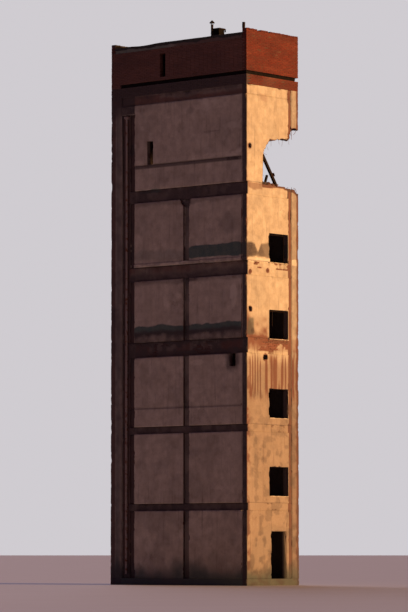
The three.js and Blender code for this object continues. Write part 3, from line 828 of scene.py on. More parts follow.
def courses(foot, head):
    """The bottom and the top of each course's bricks."""
    count = round((head - foot) / COURSE)
    pitch = (head - foot) / count
    bottoms = [foot + pitch * course + MORTAR_JOINT / 2 for course in range(count)]
    return [(bottom, bottom + pitch - MORTAR_JOINT) for bottom in bottoms]


def brick_box(axis, along, across, height):
    """The lowest and highest corners of a brick that lies along x or y."""
    spans = [sorted(across), sorted(across), height]
    spans[axis] = along
    return np.transpose(spans)


def mortar_core(node, front_dirt=0.1):
    """The node's solid with its outer faces set back behind the faces of the bricks."""
    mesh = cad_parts[node].data.copy()
    mesh.materials.clear()
    points = read(mesh.vertices, "co", width=3)
    for axis, face in enumerate((OUT_X, OUT_Y)):
        side = np.abs(points[:, axis]) > face - 0.001
        points[side, axis] -= np.sign(points[side, axis]) * CORE_RECESS
    points[points[:, 2] > GABLE_TOP - 0.001, 2] -= COURSE
    mesh.vertices.foreach_set("co", points.ravel())
    for mark in ("tone", "lime", "green"):
        store(mesh, mark, np.zeros(len(points)))
    store(mesh, "dirt", np.where(points[:, 1] < 0, front_dirt, 0.1))
    mesh.update()
    return mesh


def place_bricks(name, blocks, nodes, front_dirt=0.1):
    """Places bricks and the mortar of the nodes that they stand for, as one piece."""
    cores = [mortar_core(node, front_dirt) for node in nodes]
    mesh = joined(name, [blocks.mesh(name), *cores], [0] + [1] * len(cores))
    return place(name, mesh, "brick", [BRICK, MORTAR], nodes).data


def blackened(x, y, z):
    """How dark a brick of the brick band's front is made: darker left of x = 2.4."""
    on_band = y < -1.7 and z < ATTIC_FOOT and (z < BAND_TOP or x > ATTIC_LEG_END)
    return on_band * (0.97 if x < 2.4 else 0.88)


def limed(x, y, z):
    """How much lime lies on the middle of the brick band's right side."""
    return 0.45 * float(x > 4 and z < BAND_TOP) * max(0.35, 1 - abs(y + 0.2) / 0.9)


def lay(blocks, axis, start, end, face, height, soot):
    """Lays a course along an axis, its faces on the plane face, from start to end."""
    side = math.copysign(1, face)
    for along in stretch(start, end):
        back = blocks.random.random()
        sunk = 0.003 * back + (0.005 if back > 0.93 else 0)
        low, high = brick_box(axis, along, (face - side * sunk, face - side * BRICK_DEPTH), height)
        middle = (low + high) / 2
        patch = value_noise(middle[None], 0.9, 3)[0]
        tone = value_noise(middle[None], (1.1, 1.1, 0.2), 4)[0]
        # The bricks of each side are darkened and paled by the given share: most on the front, less on
        # the back and left, least on the right side and on the right ends of the front and back courses.
        dulling = soot * (0.3 if axis == 0 and along[1] > OUT_X - 0.01 else 1)
        dirt = dulling * (0.2 + 0.45 * patch) + 0.12 * blocks.random.random()
        dirt = min(max(dirt, blackened(*middle)), 0.97)
        lime = max(limed(*middle) * tone, dulling * (0.6 + 0.3 * tone))
        blocks.add(low, high, dirt=dirt, lime=lime, tone=tone)


def brick_ring(blocks, foot, head, gap=None, stop=OUT_X):
    """Courses round the tower. Long and short sides take the corner bricks in turn. If the long
    sides stop short of the right end, that end has none."""
    turn = BRICK_DEPTH + MORTAR_JOINT
    for course, height in enumerate(courses(foot, head)):
        back_x, back_y = (turn, 0) if course % 2 else (0, turn)
        long_run = (back_x - OUT_X, min(OUT_X - back_x, stop))
        short_run = (back_y - OUT_Y, OUT_Y - back_y)
        in_gap = gap and gap[1][0] < sum(height) / 2 < gap[1][1]
        ends = (long_run[0], *gap[0], long_run[1]) if in_gap else long_run
        for start, end in zip(ends[::2], ends[1::2]):
            lay(blocks, 0, start, end, -OUT_Y, height, 0.5)
        lay(blocks, 0, *long_run, OUT_Y, height, 0.25)
        if stop == OUT_X:
            lay(blocks, 1, *short_run, OUT_X, height, 0.03)
        lay(blocks, 1, *short_run, -OUT_X, height, 0.25)


def gable(side, name, outer_soot, inner_dirt, coping_dirt):
    """The top of a gable over the roof: courses round it, and a header course as coping."""
    blocks = Blocks(14 + side)
    inner, outer = side * GABLE_INSIDE, side * OUT_X
    *plain, (coping_foot, _) = courses(ATTIC_TOP, GABLE_TOP)
    for course, height in enumerate(plain):
        shift = BRICK_DEPTH + MORTAR_JOINT if course % 2 else 0
        lay(blocks, 1, shift - OUT_Y, OUT_Y - shift, outer, height, outer_soot)
        for along in stretch(shift - OUT_Y, OUT_Y - shift):
            leaf = brick_box(1, along, (inner, inner + side * BRICK_DEPTH), height)
            blocks.add(*leaf, dirt=inner_dirt)
        for end in (-OUT_Y, OUT_Y - BRICK_DEPTH) if shift else ():
            blocks.add(*brick_box(1, (end, end + BRICK_DEPTH), (inner, outer), height), dirt=0.3)
    for along in stretch(-OUT_Y, OUT_Y, BRICK_DEPTH, 0.05):
        if blocks.random.random() > 0.06:
            drop = 0.004 * blocks.random.random()
            header = brick_box(1, along, (inner, outer), (coping_foot - drop, GABLE_TOP - drop))
            blocks.add(*header, 0.003, 0.009, dirt=coping_dirt, green=0.3)
    return place_bricks(name + "_courses", blocks, [name])


band = Blocks(11)
brick_ring(band, RING_TOP, BAND_TOP)
place_bricks("brick_band_courses", band, ["brick_band"], front_dirt=1.0)
attic = Blocks(12)
brick_ring(attic, BAND_TOP, ATTIC_FOOT, stop=ATTIC_LEG_END)
brick_ring(attic, ATTIC_FOOT, ATTIC_TOP, ATTIC_SLOT)
place_bricks("attic_brick_courses", attic, ["attic_front_wall", "attic_back_wall"])
gable(1, "gable_right", 0.05, 0.3, 0.25)
# Painted shade on the left gable: its inner leaf and coping bricks are made nearly black, and its faces
# towards the key light are coated with the near-black concrete.
far_gable = gable(-1, "gable_left", 0.25, 0.95, 0.85)
coat_faces(far_gable, SOOT_AND_SHADE, lambda face: face.normal.x > 0.3)


# Bricks that lie bare at the ends of two floors, and in patches on the front of one of them

def bare_courses(name, axis, face, reach, strips, shown):
    """Brick slips along an axis, laid only where the render is off."""
    blocks = Blocks(21 + axis)
    for low_z, high_z, *_ in strips:
        for course in range(round((high_z - low_z) / COURSE)):
            bottom = low_z + COURSE * course + MORTAR_JOINT / 2
            start = reach[0] + (BRICK_LENGTH / 2 if course % 2 else 0)
            for along in stretch(start, reach[1], least=0):
                sunk = 0.006 + 0.006 * blocks.random.random()
                across = [face - math.copysign(back, face) for back in (sunk, 0.05)]
                low, high = brick_box(axis, along, across, (bottom, bottom + COURSE - MORTAR_JOINT))
                middle = (low + high) / 2
                if shown(middle[None])[0] > 0.4:
                    marks = {"dirt": 0.8 * (1 - axis), "lime": 0.4 * axis, "tone": middle[2] % 1}
                    blocks.add(low, high, 0.003, 0.009, **marks)
    place(name, blocks.mesh(name), "brick", [BRICK])


bare_courses("bare_bricks_right", 1, BEAM_END, (-OUT_Y + 0.05, CORNER_JOINT[0]), END_STRIPS, bare_end)
bare_courses("bare_bricks_front", 0, BEAM_FRONT, (DEEP_JOINT[1], 3.8), [FRONT_STRIP], bare_front)


# Swept, turned and worn forms for the roof, the steelwork and the pipes

class Shape:
    """Skins over rings of points, measured from one place and gathered into one mesh."""

    def __init__(self, at=(0, 0, 0)):
        self.at = Vector(at)
        self.bm = bmesh.new()

    def skin(self, rings, material=0):
        made = [[self.bm.verts.new(self.at + Vector(point)) for point in ring] for ring in rings]
        faces = []
        for lower, upper in itertools.pairwise(made):
            faces += zip(lower, lower[1:] + lower[:1], upper[1:] + upper[:1], upper)
        for face in (*faces, made[0][::-1], made[-1]):
            self.bm.faces.new(face).material_index = material

    def sweep(self, outline, path, side=None, material=0):
        """An outline carried along a path without twist."""
        path = [Vector(point) for point in path]
        ahead = (path[1] - path[0]).normalized()
        across = Vector(side) if side else ahead.orthogonal()
        rings = []
        for before, point, after in zip(path[:1] + path, path, path[1:] + path[-1:]):
            now = (after - before).normalized()
            across = ahead.rotation_difference(now) @ across
            ahead = now
            up = ahead.cross(across).normalized()
            across = up.cross(ahead)
            rings.append([point + across * u + up * v for u, v in outline])
        self.skin(rings, material)

    def turn(self, profile, at=(0, 0, 0), sides=20):
        """A profile of radius and height, turned round an upright axis."""
        self.skin([
            [Vector(at) + Vector((radius * c, radius * s, height)) for c, s in circle(1, sides)]
            for radius, height in profile
        ])

    def square(self, profile):
        """The same with square rings, of half sizes and heights, with eight steps to a side."""
        steps = np.linspace(-1, 1, 9)[:-1]
        loop = [(t, -1) for t in steps] + [(1, t) for t in steps]
        loop += [(-u, -v) for u, v in loop]
        self.skin([[(u * half, v * half, height) for u, v in loop] for half, height in profile])

    def rod(self, points, radius, sides=8):
        """A rod along a smooth line through a few points."""
        knots = [Vector(point) for point in points]
        path = []
        for before, start, end, after in zip(knots[:1] + knots, knots, knots[1:], knots[2:] + knots[-1:]):
            for t in (0, 0.2, 0.4, 0.6, 0.8):
                path.append(0.5 * (
                    2 * start + (end - before) * t
                    + (2 * before - 5 * start + 4 * end - after) * t * t
                    + (3 * start - before - 3 * end + after) * t ** 3
                ))
        self.sweep(circle(radius, sides), [*path, knots[-1]])

    def mesh(self, name, bevel=0.0):
        bmesh.ops.recalc_face_normals(self.bm, faces=self.bm.faces[:])
        if bevel:
            edges = [edge for edge in self.bm.edges if edge.is_manifold and edge.calc_face_angle() > 0.6]
            bmesh.ops.bevel(self.bm, geom=edges, offset=bevel, segments=1, affect="EDGES")
        made = mesh_from(self.bm, name)
        smooth(made)
        return made


def circle(radius, sides=12):
    turns = np.arange(sides) / sides * math.tau
    return [(radius * math.cos(turn), radius * math.sin(turn)) for turn in turns]


def rectangle(width, depth):
    return [(width * u, depth * v) for u, v in ((-0.5, -0.5), (0.5, -0.5), (0.5, 0.5), (-0.5, 0.5))]


def channel(width, depth, thick):
    """A U section, its web along the first axis."""
    half = width / 2
    right = [(half, 0), (half, depth), (half - thick, depth), (half - thick, thick)]
    return [(-half, 0), *right, *[(-u, v) for u, v in right[:0:-1]]]


def angle_section(width, thick):
    return [(0, 0), (width, 0), (width, thick), (thick, thick), (thick, width), (0, width)]


def worn_block(low, high, cell, rounding, wear, seed=0):
    """A block with rounded arrises and worn faces, inside its box."""
    low, high = np.array(low, float), np.array(high, float)
    bm = bmesh.new()
    bmesh.ops.create_cube(bm, size=1)
    for vert in bm.verts:
        vert.co = Vector((low + high) / 2 + np.array(vert.co) * (high - low))
    cut_lattice(bm, bm.faces[:], cell)
    points = np.array([vert.co for vert in bm.verts])
    core = np.clip(points, low + rounding, high - rounding)
    away = points - core
    away /= np.maximum(np.linalg.norm(away, axis=1), 1e-9)[:, None]
    deeper = 1 + 1.5 * ease(0.6, 0.8, fractal(points, 0.3, 137 + seed))
    worn = wear * fractal(points, 0.22, 131 + seed, 3) * deeper
    points = core + away * (rounding - worn)[:, None]
    for vert, point in zip(bm.verts, points):
        vert.co = point
    made = mesh_from(bm, "worn_block")
    smooth(made)
    return made


def middle_of(node):
    """The middle of the foot of a node, its half width and its height."""
    low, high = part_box(node)
    foot = Vector(((low.x + high.x) / 2, (low.y + high.y) / 2, low.z))
    return foot, (high.x - low.x) / 2, high.z - low.z


# The roof: a slab, felt in lapped strips, upstands against the gables

FELT_STEP = 0.06
FELT_THICK = 0.007
LAP = 0.94


def sagged(x, y):
    """How far the front edge of the roof has sunk between two points of its left half."""
    return 0.035 * between(x, -2.6, -1.5, 0.5) * ease(-1.2, -1.8, y)


def felt_sheet():
    """Lapped felt over the slab, hanging over its long edges in a torn hem."""
    stations = np.linspace(-FELT_HALF + 0.004, FELT_HALF - 0.004, round(2 * FELT_HALF / FELT_STEP))
    spots = stations[:, None] * (1, 0, 0)
    torn = fractal(spots, 0.5, 61) + 0.5 * fractal(spots, 0.16, 62)
    front = 0.06 + 0.07 * torn + 0.06 * between(stations, 0.5, 1.2, 0.2)
    back = 0.04 + 0.09 * fractal(spots, 0.6, 63)
    across = np.linspace(-1, 1, 61)
    drops = np.array([0.12, 0.35, 0.6, 0.8, 1.0])
    counts = (len(drops), len(across), len(drops))
    level = np.zeros((len(stations), len(across)))
    hem = np.concatenate([-np.outer(front, drops[::-1]), level, -np.outer(back, drops)], axis=1)
    side = np.tile(np.repeat((1, 0, -1), counts), len(stations))
    row_y = np.pad(across, len(drops), "edge") * (ROOF_EDGE - 0.004)
    wide = len(row_y)
    places = np.stack([np.repeat(stations, wide), np.tile(row_y, len(stations)), hem.ravel()], axis=1)
    lapped = ((places[:, 1] + OUT_Y + 0.3) / LAP) % 1
    lift = 0.008 + 0.01 * (1 - lapped) + 0.012 * fractal(places, (0.8, 0.3, 1), 64, 3)
    lift -= 0.012 * ease(0.06, 0, ROOF_EDGE - np.abs(places[:, 1]))
    places[:, 2] += ROOF_TOP + lift * (side == 0) - sagged(places[:, 0], places[:, 1])
    places[:, 1] += side * 0.012 * fractal(places, (0.22, 1, 0.4), 65, 2)
    under = places.copy()
    under[:, 2] -= FELT_THICK * (side == 0)
    under[:, 1] += 0.006 * side
    bm = bmesh.new()
    top = [bm.verts.new(point) for point in places]
    bottom = [bm.verts.new(point) for point in under]
    for row, column in itertools.product(range(len(stations) - 1), range(wide - 1)):
        a = row * wide + column
        b = a + wide
        bm.faces.new((top[a], top[b], top[b + 1], top[a + 1]))
        bm.faces.new((bottom[a + 1], bottom[b + 1], bottom[b], bottom[a]))
    bm.verts.index_update()
    rim = [edge.verts[:] for edge in bm.edges if edge.is_boundary and edge.verts[0].index < len(top)]
    for a, b in rim:
        bm.faces.new((a, b, bottom[b.index], bottom[a.index]))
    bmesh.ops.recalc_face_normals(bm, faces=bm.faces[:])
    made = mesh_from(bm, "roof_felt")
    store(made, "green", np.tile(ease(0.45, 0.75, fractal(places, 0.9, 66)) * (side == 0), 2))
    smooth(made, 50)
    return made


slab = weathered(
    "roof_slab", PIER, SHOWN_CELL, 99, 0.6, chips=0.6, skin=0.012, open_inside=True, slot="roofing_felt"
)
slab_x, slab_y, _ = read(slab.vertices, "co", width=3).T
pale = ease(0.2, -0.9, slab_x) * (slab_y < 0)
SLAB_MARKS = (("dirt", 0.62, 0.12), ("green", 0.0, 0.55), ("red", 0.6, 0), ("lime", 0, 0.15))
for mark, plain, light in SLAB_MARKS:
    slab.attributes[mark].data.foreach_set("value", np.float32(plain + (light - plain) * pale))
for vert in slab.vertices:
    if vert.co.z > ROOF_TOP - 0.09:
        vert.co.z -= sagged(vert.co.x, vert.co.y)
place("roof_felt", felt_sheet(), "roofing_felt", [FELT])

upstands = Shape()
for side in (-1, 1):
    path = []
    for y in np.arange(-1.84, 1.85, 0.08):
        waved = 0.02 * math.sin(7 * y) + 0.01 * math.sin(23 * y)
        path.append((side * (FELT_HALF - 0.006), y, ROOF_TOP + 0.07 + waved))
    upstands.sweep(rectangle(0.01, 0.12), path, side=(1, 0, 0))
upstand = place("roof_upstands", upstands.mesh("roof_upstands", 0.002), "roofing_felt", [FELT])
# Painted shade: the left upstand is coated with the near-black concrete.
coat_faces(upstand.data, SOOT_AND_SHADE, lambda face: face.center.x < 0)


# The roof hatch: a rendered curb with felt at its foot, and a dented steel lid

HATCH_AT, LID_HALF, HATCH_HEIGHT = middle_of("roof_hatch")
LID_AT = HATCH_AT + Vector((0, 0, HATCH_HEIGHT))
CURB_HALF = LID_HALF - 0.03

curb = worn_block(
    HATCH_AT - Vector((CURB_HALF, CURB_HALF, 0)),
    LID_AT + Vector((CURB_HALF, CURB_HALF, -0.05)),
    0.03, 0.02, 0.016,
)
collar = Shape(HATCH_AT)
skirt = ((0.1, 0.012), (0.02, 0.04), (0.006, 0.17), (-0.01, 0.172))
collar.square([(CURB_HALF + out, height) for out, height in skirt])
lid = Shape(LID_AT)
lid.square([
    (LID_HALF - 0.006, -0.075), (LID_HALF, -0.075), (LID_HALF, -0.02), (LID_HALF - 0.008, -0.013),
    (LID_HALF * 0.6, -0.004), (LID_HALF * 0.3, -0.012), (0.02, -0.002),
])
for vert in lid.bm.verts:
    dent = value_noise(np.array([vert.co]), 0.17, 71)[0] - 0.5
    vert.co.z -= 0.012 * max(dent, 0)
steelwork = Shape(LID_AT)
grip = ((-0.07, 0, -0.04), (-0.07, 0.035, -0.045), (0.07, 0.035, -0.05), (0.07, 0, -0.04))
steelwork.rod([(x, -LID_HALF - out, z) for x, out, z in grip], 0.007)
for x in (-0.2, 0.2):
    y = LID_HALF + 0.008
    steelwork.sweep(circle(0.012), [(x - 0.05, y, -0.06), (x + 0.05, y, -0.06)])
    strap = [(x, y - 0.006, height) for height in (-0.18, -0.06)]
    steelwork.sweep(rectangle(0.08, 0.006), strap, side=(1, 0, 0))
hatch = [curb, collar.mesh("collar", 0.004), lid.mesh("lid", 0.002), steelwork.mesh("steelwork", 0.001)]
place(
    "roof_hatch_curb", joined("roof_hatch_curb", hatch), "roofing_felt",
    [SOOT_AND_SHADE, FELT, DARK_STEEL, DARK_STEEL], ["roof_hatch"],
)


# The vent pipe: an open pipe under a cone on three legs

VENT_AT, CAP_RADIUS, VENT_HEIGHT = middle_of("vent_pipe")
VENT_RADIUS = 0.055
VENT_PROFILE = (
    (0, 0), (0, 0.3), (0.005, 0.302), (0.005, 0.36), (0, 0.362), (0, 0.74), (-0.005, 0.74), (-0.005, 0.6),
)
CAP_PROFILE = (
    (CAP_RADIUS - 0.006, 0.135), (CAP_RADIUS, 0.14), (CAP_RADIUS, 0.11), (0.06, 0.05), (0.008, 0),
)
LEG_PATH = ((0.058, 0.64), (0.058, 0.72), (0.09, 0.77), (0.104, VENT_HEIGHT - 0.11))

vent = Shape(VENT_AT)
vent.turn([(VENT_RADIUS + out, height) for out, height in VENT_PROFILE])
vent.turn([(radius, VENT_HEIGHT - drop) for radius, drop in CAP_PROFILE])
for turn in (0.4, 2.5, 4.6):
    c, s = math.cos(turn), math.sin(turn)
    vent.sweep(
        rectangle(0.022, 0.004), [(radius * c, radius * s, height) for radius, height in LEG_PATH],
        side=(-s, c, 0),
    )
vent_collar = Shape(VENT_AT)
vent_collar.turn([(0.17, 0.012), (0.12, 0.04), (0.07, 0.14), (0.05, 0.145)])
vent_parts = [vent.mesh("vent"), vent_collar.mesh("vent_collar", 0.003)]
place(
    "vent_pipe_and_cap", joined("vent_pipe_and_cap", vent_parts), "rusty_steel",
    [DARK_STEEL, FELT], ["vent_pipe"],
)


# The stub of a post on the front corner, and the bar that leans in the broken corner

POST_AT, _, POST_HEIGHT = middle_of("corner_post")
post = Shape(POST_AT)
post.sweep(rectangle(0.108, 0.108), [(0, 0, 0), (0, 0, 0.012)])
post.sweep(
    angle_section(0.1, 0.01),
    [(0.044, -0.05, 0.008), (0.045, -0.049, 0.15), (0.048, -0.046, POST_HEIGHT - 0.004)],
    side=(0, 1, 0),
)
for dx, dy in itertools.product((-0.038, 0.038), repeat=2):
    post.turn([(0.011, 0.01), (0.011, 0.02), (0.006, 0.021), (0.006, 0.03)], (dx, dy, 0), 6)
stump = post.mesh("corner_post_stub", 0.0015)
place("corner_post_stub", stump, "rusty_steel", [DARK_STEEL], ["corner_post"])

BAR_LEAN = math.radians(36)
BAR_LENGTH = 1.76
BAR_LOW, BAR_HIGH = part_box("fallen_bar")
BAR_FOOT = Vector(((BAR_LOW.x + BAR_HIGH.x) / 2, BAR_LOW.y + BAR_LENGTH * math.sin(BAR_LEAN), BAR_LOW.z))
BAR_WAY = Vector((0, -math.sin(BAR_LEAN), math.cos(BAR_LEAN)))
BAR_OUT = Vector((0, math.cos(BAR_LEAN), math.sin(BAR_LEAN)))
BAR_BEND = ((0, 0), (0.3, 0.001), (0.6, 0.003), (0.9, 0.004), (1.2, 0.003), (1.5, 0.001), (1.75, 0))

bar = Shape(BAR_FOOT)
bent = [BAR_WAY * t + BAR_OUT * bend for t, bend in BAR_BEND]
bar.sweep(channel(0.108, 0.125, 0.012), bent, side=(-1, 0, 0))
plate = [BAR_OUT * 0.085 + BAR_WAY * 0.46, BAR_OUT * 0.115 + BAR_WAY * 0.62]
bar.sweep(rectangle(0.1, 0.012), plate, side=(1, 0, 0), material=1)
stub_foot = Vector((0, -0.45 - BAR_FOOT.y, -0.03))
stub = [stub_foot + Vector(rise) for rise in ((0, 0, 0), (0, 0.05, 0.2), (0, 0.16, 0.48))]
bar.sweep(angle_section(0.09, 0.01), stub, side=(0, 1, 0))
leaning = bar.mesh("fallen_channel", 0.0015)
place("fallen_channel", leaning, "rusty_steel", [DARK_STEEL, STEEL], ["fallen_bar"])


# Reinforcement that sticks out of the broken edges of the pier, the end wall and the back wall

PIER_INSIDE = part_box("pier_back_right_lower")[0]
LOWER_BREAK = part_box("pier_back_right_lower")[1].z
UPPER_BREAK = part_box("pier_back_right_upper")[0].z
WALL_MIDDLE = 4.0
BACK_MIDDLE = 1.72
# Where rods leave the end wall, at y and z, and the back wall, at x and z, and which way they go
END_RODS = (
    (-0.72, 18.7, 0.3, -0.05), (-0.7, 19.2, 0.22, 0.06), (-0.6, 19.75, 0.2, -0.12),
    (-0.4, 20.1, 0.16, -0.22), (0.1, 20.42, 0.04, -0.3), (0.5, 20.45, 0.07, -0.24),
    (0.95, 20.5, -0.05, -0.32), (1.2, 20.55, 0.1, -0.26),
)
BACK_RODS = (
    (3.3, 21.1, 0.05, -0.3), (2.8, 21.1, -0.04, -0.26), (2.3, 20.95, 0.1, -0.3), (1.85, 20.5, 0.2, -0.16),
    (1.62, 19.9, 0.26, 0.0), (1.6, 19.3, 0.24, 0.06), (1.75, 18.7, 0.22, 0.08),
)

rods = Shape()
loose = np.random.default_rng(31)
for x in (PIER_INSIDE.x + 0.06, OUT_X - 0.07):
    for y in (PIER_INSIDE.y + 0.07, OUT_Y - 0.07):
        foot = Vector((x, y, LOWER_BREAK - 0.45))
        head = Vector((x, y, UPPER_BREAK + 0.3))
        lean = Vector((4.0 - x, 1.5 - y, 0)) * 0.4 + Vector((*loose.normal(0, 0.03, 2), 0))
        rise = 0.42 + 0.3 * loose.uniform(0.1, 0.4)
        drop = 0.3 + loose.uniform(0.12, 0.4)
        for end, bends in ((foot, (0.36, 0.5, rise, 0.04)), (head, (-0.28, 0.4, -drop, -0.12))):
            straight, aside, far, further = bends
            rods.rod([
                end, end + Vector((0, 0, straight)), end + lean * aside + Vector((0, 0, far)),
                end + lean * 1.3 + Vector((0, 0, far + further)),
            ], 0.009)
for y, z, out_y, out_z in END_RODS:
    start = Vector((WALL_MIDDLE + loose.uniform(-0.06, 0.08), y - out_y * 0.3, z - out_z * 0.3))
    tip = start + Vector((loose.uniform(-0.06, 0.06), out_y * 1.5, out_z * 1.5))
    middle = (start + tip) / 2 + Vector((0, loose.uniform(-0.03, 0.03), loose.uniform(-0.03, 0.03)))
    rods.rod([start, middle, tip], 0.005, 6)
for x, z, out_x, out_z in BACK_RODS:
    start = Vector((x - out_x * 0.3, BACK_MIDDLE + loose.uniform(-0.05, 0.05), z - out_z * 0.3))
    tip = start + Vector((out_x * 1.5, loose.uniform(-0.05, 0.05), out_z * 1.5))
    rods.rod([start, (start + tip) / 2 + Vector((0, 0.02, 0.02)), tip], 0.005, 6)
place("bare_rods", rods.mesh("bare_rods"), "rusty_steel", [STEEL])


# Broken lumps in the top floor's tray and along its broken edge, heaped round the stub

def lump(at, size, seed):
    """A broken lump: a ball that is flattened and cut by noise."""
    bm = bmesh.new()
    bmesh.ops.create_icosphere(bm, subdivisions=2, radius=1)
    points = np.array([vert.co for vert in bm.verts])
    cut = np.round(points * 1.3 + value_noise(points, 0.7, seed)[:, None] * 0.9 - 0.45, 1)
    cut *= (0.75 + 0.5 * value_noise(points, 0.9, seed + 5))[:, None]
    for vert, point in zip(bm.verts, cut):
        vert.co = Vector(at) + Vector(point * np.asarray(size) / 2)
    made = mesh_from(bm, "lump")
    made.shade_smooth()
    return made


TRAY_TOP = TOP_FLOOR[0].z + 0.2
TRAY_LUMPS = 70
EDGE_LUMPS = 44
lumps = []
for seed in range(TRAY_LUMPS):
    size = 0.05 + 0.17 * loose.random() ** 2.2
    spot = (loose.uniform(1.7, 3.72), loose.uniform(-0.3, 1.42))
    flat = size * loose.uniform(0.5, 0.8)
    lumps.append(lump((*spot, TRAY_TOP + flat * 0.45), (size, size * loose.uniform(0.6, 1), flat), seed))
for seed in range(EDGE_LUMPS):
    y = loose.uniform(-0.6, 0.36)
    heap = 0.22 * math.exp(-((y + 0.34) / 0.16) ** 2)
    size = 0.05 + 0.08 * loose.random()
    spot = (loose.uniform(3.88, 4.07), y, BAR_LOW.z + size * 0.2 + heap * loose.random())
    lumps.append(lump(spot, (size, size, size * 0.75), 90 + seed))
rubble = joined("rubble", lumps, itertools.repeat(0))
rubble_x, rubble_y, _ = read(rubble.vertices, "co", width=3).T
on_edge = ease(3.78, 3.84, rubble_x)
at_stub = between(rubble_y, -0.62, -0.28, 0.05)
store(rubble, "red", 0.9 * on_edge * (1 - 0.5 * at_stub))
store(rubble, "dirt", on_edge * (0.5 + 0.5 * at_stub))
place("rubble", rubble, "panel_concrete", [PIER])


# The rainwater pipe: lengths with sockets, a hopper head and clips

PIPE_LOW, PIPE_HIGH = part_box("rain_pipe")
PIPE_X = (PIPE_LOW.x + PIPE_HIGH.x) / 2
PIPE_Y = -1.812
PIPE_RADIUS = 0.058
PIPE_LENGTH = 2.0
HOPPER_FOOT = PIPE_HIGH.z - 0.09
HOPPER = (
    (0.052, 0.052, -0.04), (0.126, 0.062, 0.02), (0.126, 0.062, 0.068), (0.129, 0.065, 0.07),
    (0.129, 0.065, 0.089), (0.122, 0.058, 0.089), (0.118, 0.054, 0.03),
)
CHASE_BACK = -OUT_Y + 0.11 - PIPE_Y

pipe = Shape((PIPE_X, PIPE_Y, 0))
foot_z = PIPE_LOW.z
while foot_z < HOPPER_FOOT - 0.1:
    head_z = min(foot_z + PIPE_LENGTH, HOPPER_FOOT)
    long = head_z - foot_z
    profile = (
        (-0.006, 0), (-0.003, 0.01), (-0.003, long - 0.07), (0, long - 0.065), (0, long - 0.012),
        (0.001, long - 0.01), (0.001, long),
    )
    at = (0.002 * math.sin(foot_z * 2.7), 0, foot_z)
    pipe.turn([(PIPE_RADIUS + out, height) for out, height in profile], at, 16)
    foot_z = head_z
pipe.skin([
    [(u * half, v * depth - 0.004, HOPPER_FOOT + height) for u, v in ((-1, -1), (1, -1), (1, 1), (-1, 1))]
    for half, depth, height in HOPPER
])
for low, high in FLOORS:
    clip_z = low.z - 0.67
    clip = ((0, -0.02), (0.0009, -0.02), (0.0009, 0.02), (0, 0.02))
    pipe.turn([(PIPE_RADIUS + out, height) for out, height in clip], (0, 0, clip_z), 16)
    for side in (-1, 1):
        ear = [(side * 0.057, 0, clip_z), (side * 0.087, 0, clip_z)]
        pipe.sweep(rectangle(0.035, 0.006), ear, side=(0, 0, 1))
        pipe.sweep(circle(0.006, 6), [(side * 0.075, -0.012, clip_z), (side * 0.075, CHASE_BACK, clip_z)])
place("rain_pipe_lengths", pipe.mesh("rain_pipe_lengths"), "rusty_steel", [ZINC], ["rain_pipe"])


# Sills under the side windows, and what is left of the steel frames in two of them

sills = []
for side in (-1, 1):
    for number, (low, high) in enumerate(FLOORS[:4], 1):
        sill_z = high.z if number > 2 else low.z + 0.65
        low_x, high_x = sorted((side * (OUT_X - 0.26), side * (OUT_X + 0.034)))
        sills.append(worn_block(
            (low_x, WINDOW_Y[0] - 0.04, sill_z - 0.05), (high_x, WINDOW_Y[1] + 0.04, sill_z + 0.012),
            0.03, 0.012, 0.03, number,
        ))
place("window_sills", joined("window_sills", sills, itertools.repeat(0)), "panel_concrete", [PANEL])

# The floor under the window, and each upright's place across the window with the share that is left
WINDOW_BARS = ((2, ((0.02, 1), (0.36, 0.55), (0.98, 1))), (3, ((0.02, 1), (0.98, 1))))
FRAME_X = OUT_X - 0.24
frames = Shape()
for floor, uprights in WINDOW_BARS:
    sill_z = FLOORS[floor][1].z
    top_z = sill_z + WINDOW_HEIGHT - 0.01
    for share, left in uprights:
        y = WINDOW_Y[0] + (WINDOW_Y[1] - WINDOW_Y[0]) * share
        ends = (y, top_z - (WINDOW_HEIGHT - 0.03) * left), (y + 0.01, top_z - 0.5), (y, top_z)
        path = [(FRAME_X - bend, *end) for bend, end in zip((0, 0.01, 0), ends)]
        frames.sweep(rectangle(0.022, 0.03), path, side=(1, 0, 0))
    rail = [(FRAME_X, y, sill_z + WINDOW_HEIGHT * 0.97) for y in (WINDOW_Y[0] + 0.01, WINDOW_Y[1] - 0.01)]
    frames.sweep(rectangle(0.025, 0.025), rail, side=(1, 0, 0))
place("window_bars", frames.mesh("window_bars", 0.002), "rusty_steel", [DARK_STEEL])


# Floor, lights and camera

FLOOR_RADIUS = 1500
CAMERA_AZIMUTH = math.radians(40.8)
CAMERA_DISTANCE = 155
CAMERA_HEIGHT = 1.5
AIM = Vector((0, 0, 12.9))

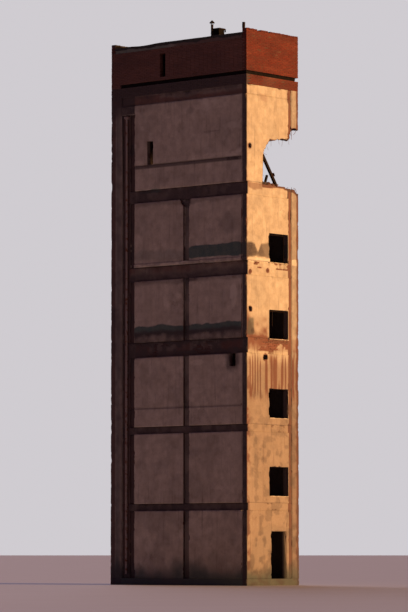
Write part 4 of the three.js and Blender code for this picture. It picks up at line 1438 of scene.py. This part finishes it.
floor_bm = bmesh.new()
bmesh.ops.create_circle(floor_bm, cap_ends=True, segments=96, radius=FLOOR_RADIUS)
floor = added("floor", mesh_from(floor_bm, "floor"))
floor_shader = Shader("pale_floor")
FLOOR_TONES = [(0.3, (0.68, 0.69, 0.76)), (0.7, (0.71, 0.72, 0.79))]
floor_colour = floor_shader.ramp(floor_shader.noise(0.2), FLOOR_TONES)
floor.data.materials.append(floor_shader.finish(floor_colour, 0.9, floor_shader.noise(3), 0.002))


def sun(name, towards, strength, colour, softness):
    light = bpy.data.lights.new(name, "SUN")
    light.energy = strength
    light.color = colour
    light.angle = math.radians(softness)
    added(name, light).rotation_euler = Vector(towards).to_track_quat("Z", "Y").to_euler()


sun("key", (0.96, 0.125, 0.125), 5.2, (1.0, 0.56, 0.22), 8)
sun("back_fill", (-0.8, 0.5, 0.3), 1.0, (0.86, 0.78, 1.0), 40)

# The sky that lights the tower is dimmer than the one that the camera sees.
world = bpy.data.worlds.new("studio")
bpy.context.scene.world = world
world.use_nodes = True
tree = world.node_tree
sky = tree.nodes["Background"]
seen = tree.nodes.new("ShaderNodeBackground")
for background, colour, strength in ((sky, (0.9, 0.52, 0.94), 0.066), (seen, (0.74, 0.71, 0.75), 0.85)):
    background.inputs["Color"].default_value = (*colour, 1)
    background.inputs["Strength"].default_value = strength
rays = tree.nodes.new("ShaderNodeLightPath")
chosen = tree.nodes.new("ShaderNodeMixShader")
tree.links.new(rays.outputs["Is Camera Ray"], chosen.inputs["Fac"])
tree.links.new(sky.outputs["Background"], chosen.inputs[1])
tree.links.new(seen.outputs["Background"], chosen.inputs[2])
tree.links.new(chosen.outputs["Shader"], tree.nodes["World Output"].inputs["Surface"])
bpy.context.scene.view_settings.view_transform = "Standard"

camera_data = bpy.data.cameras.new("camera")
camera_data.lens = 197
camera_data.sensor_width = 36
camera_data.clip_end = 4000
camera = added("camera", camera_data)
camera.location = (
    CAMERA_DISTANCE * math.sin(CAMERA_AZIMUTH),
    -CAMERA_DISTANCE * math.cos(CAMERA_AZIMUTH),
    CAMERA_HEIGHT,
)
camera.rotation_euler = (AIM - camera.location).to_track_quat("-Z", "Y").to_euler()
bpy.context.scene.camera = camera
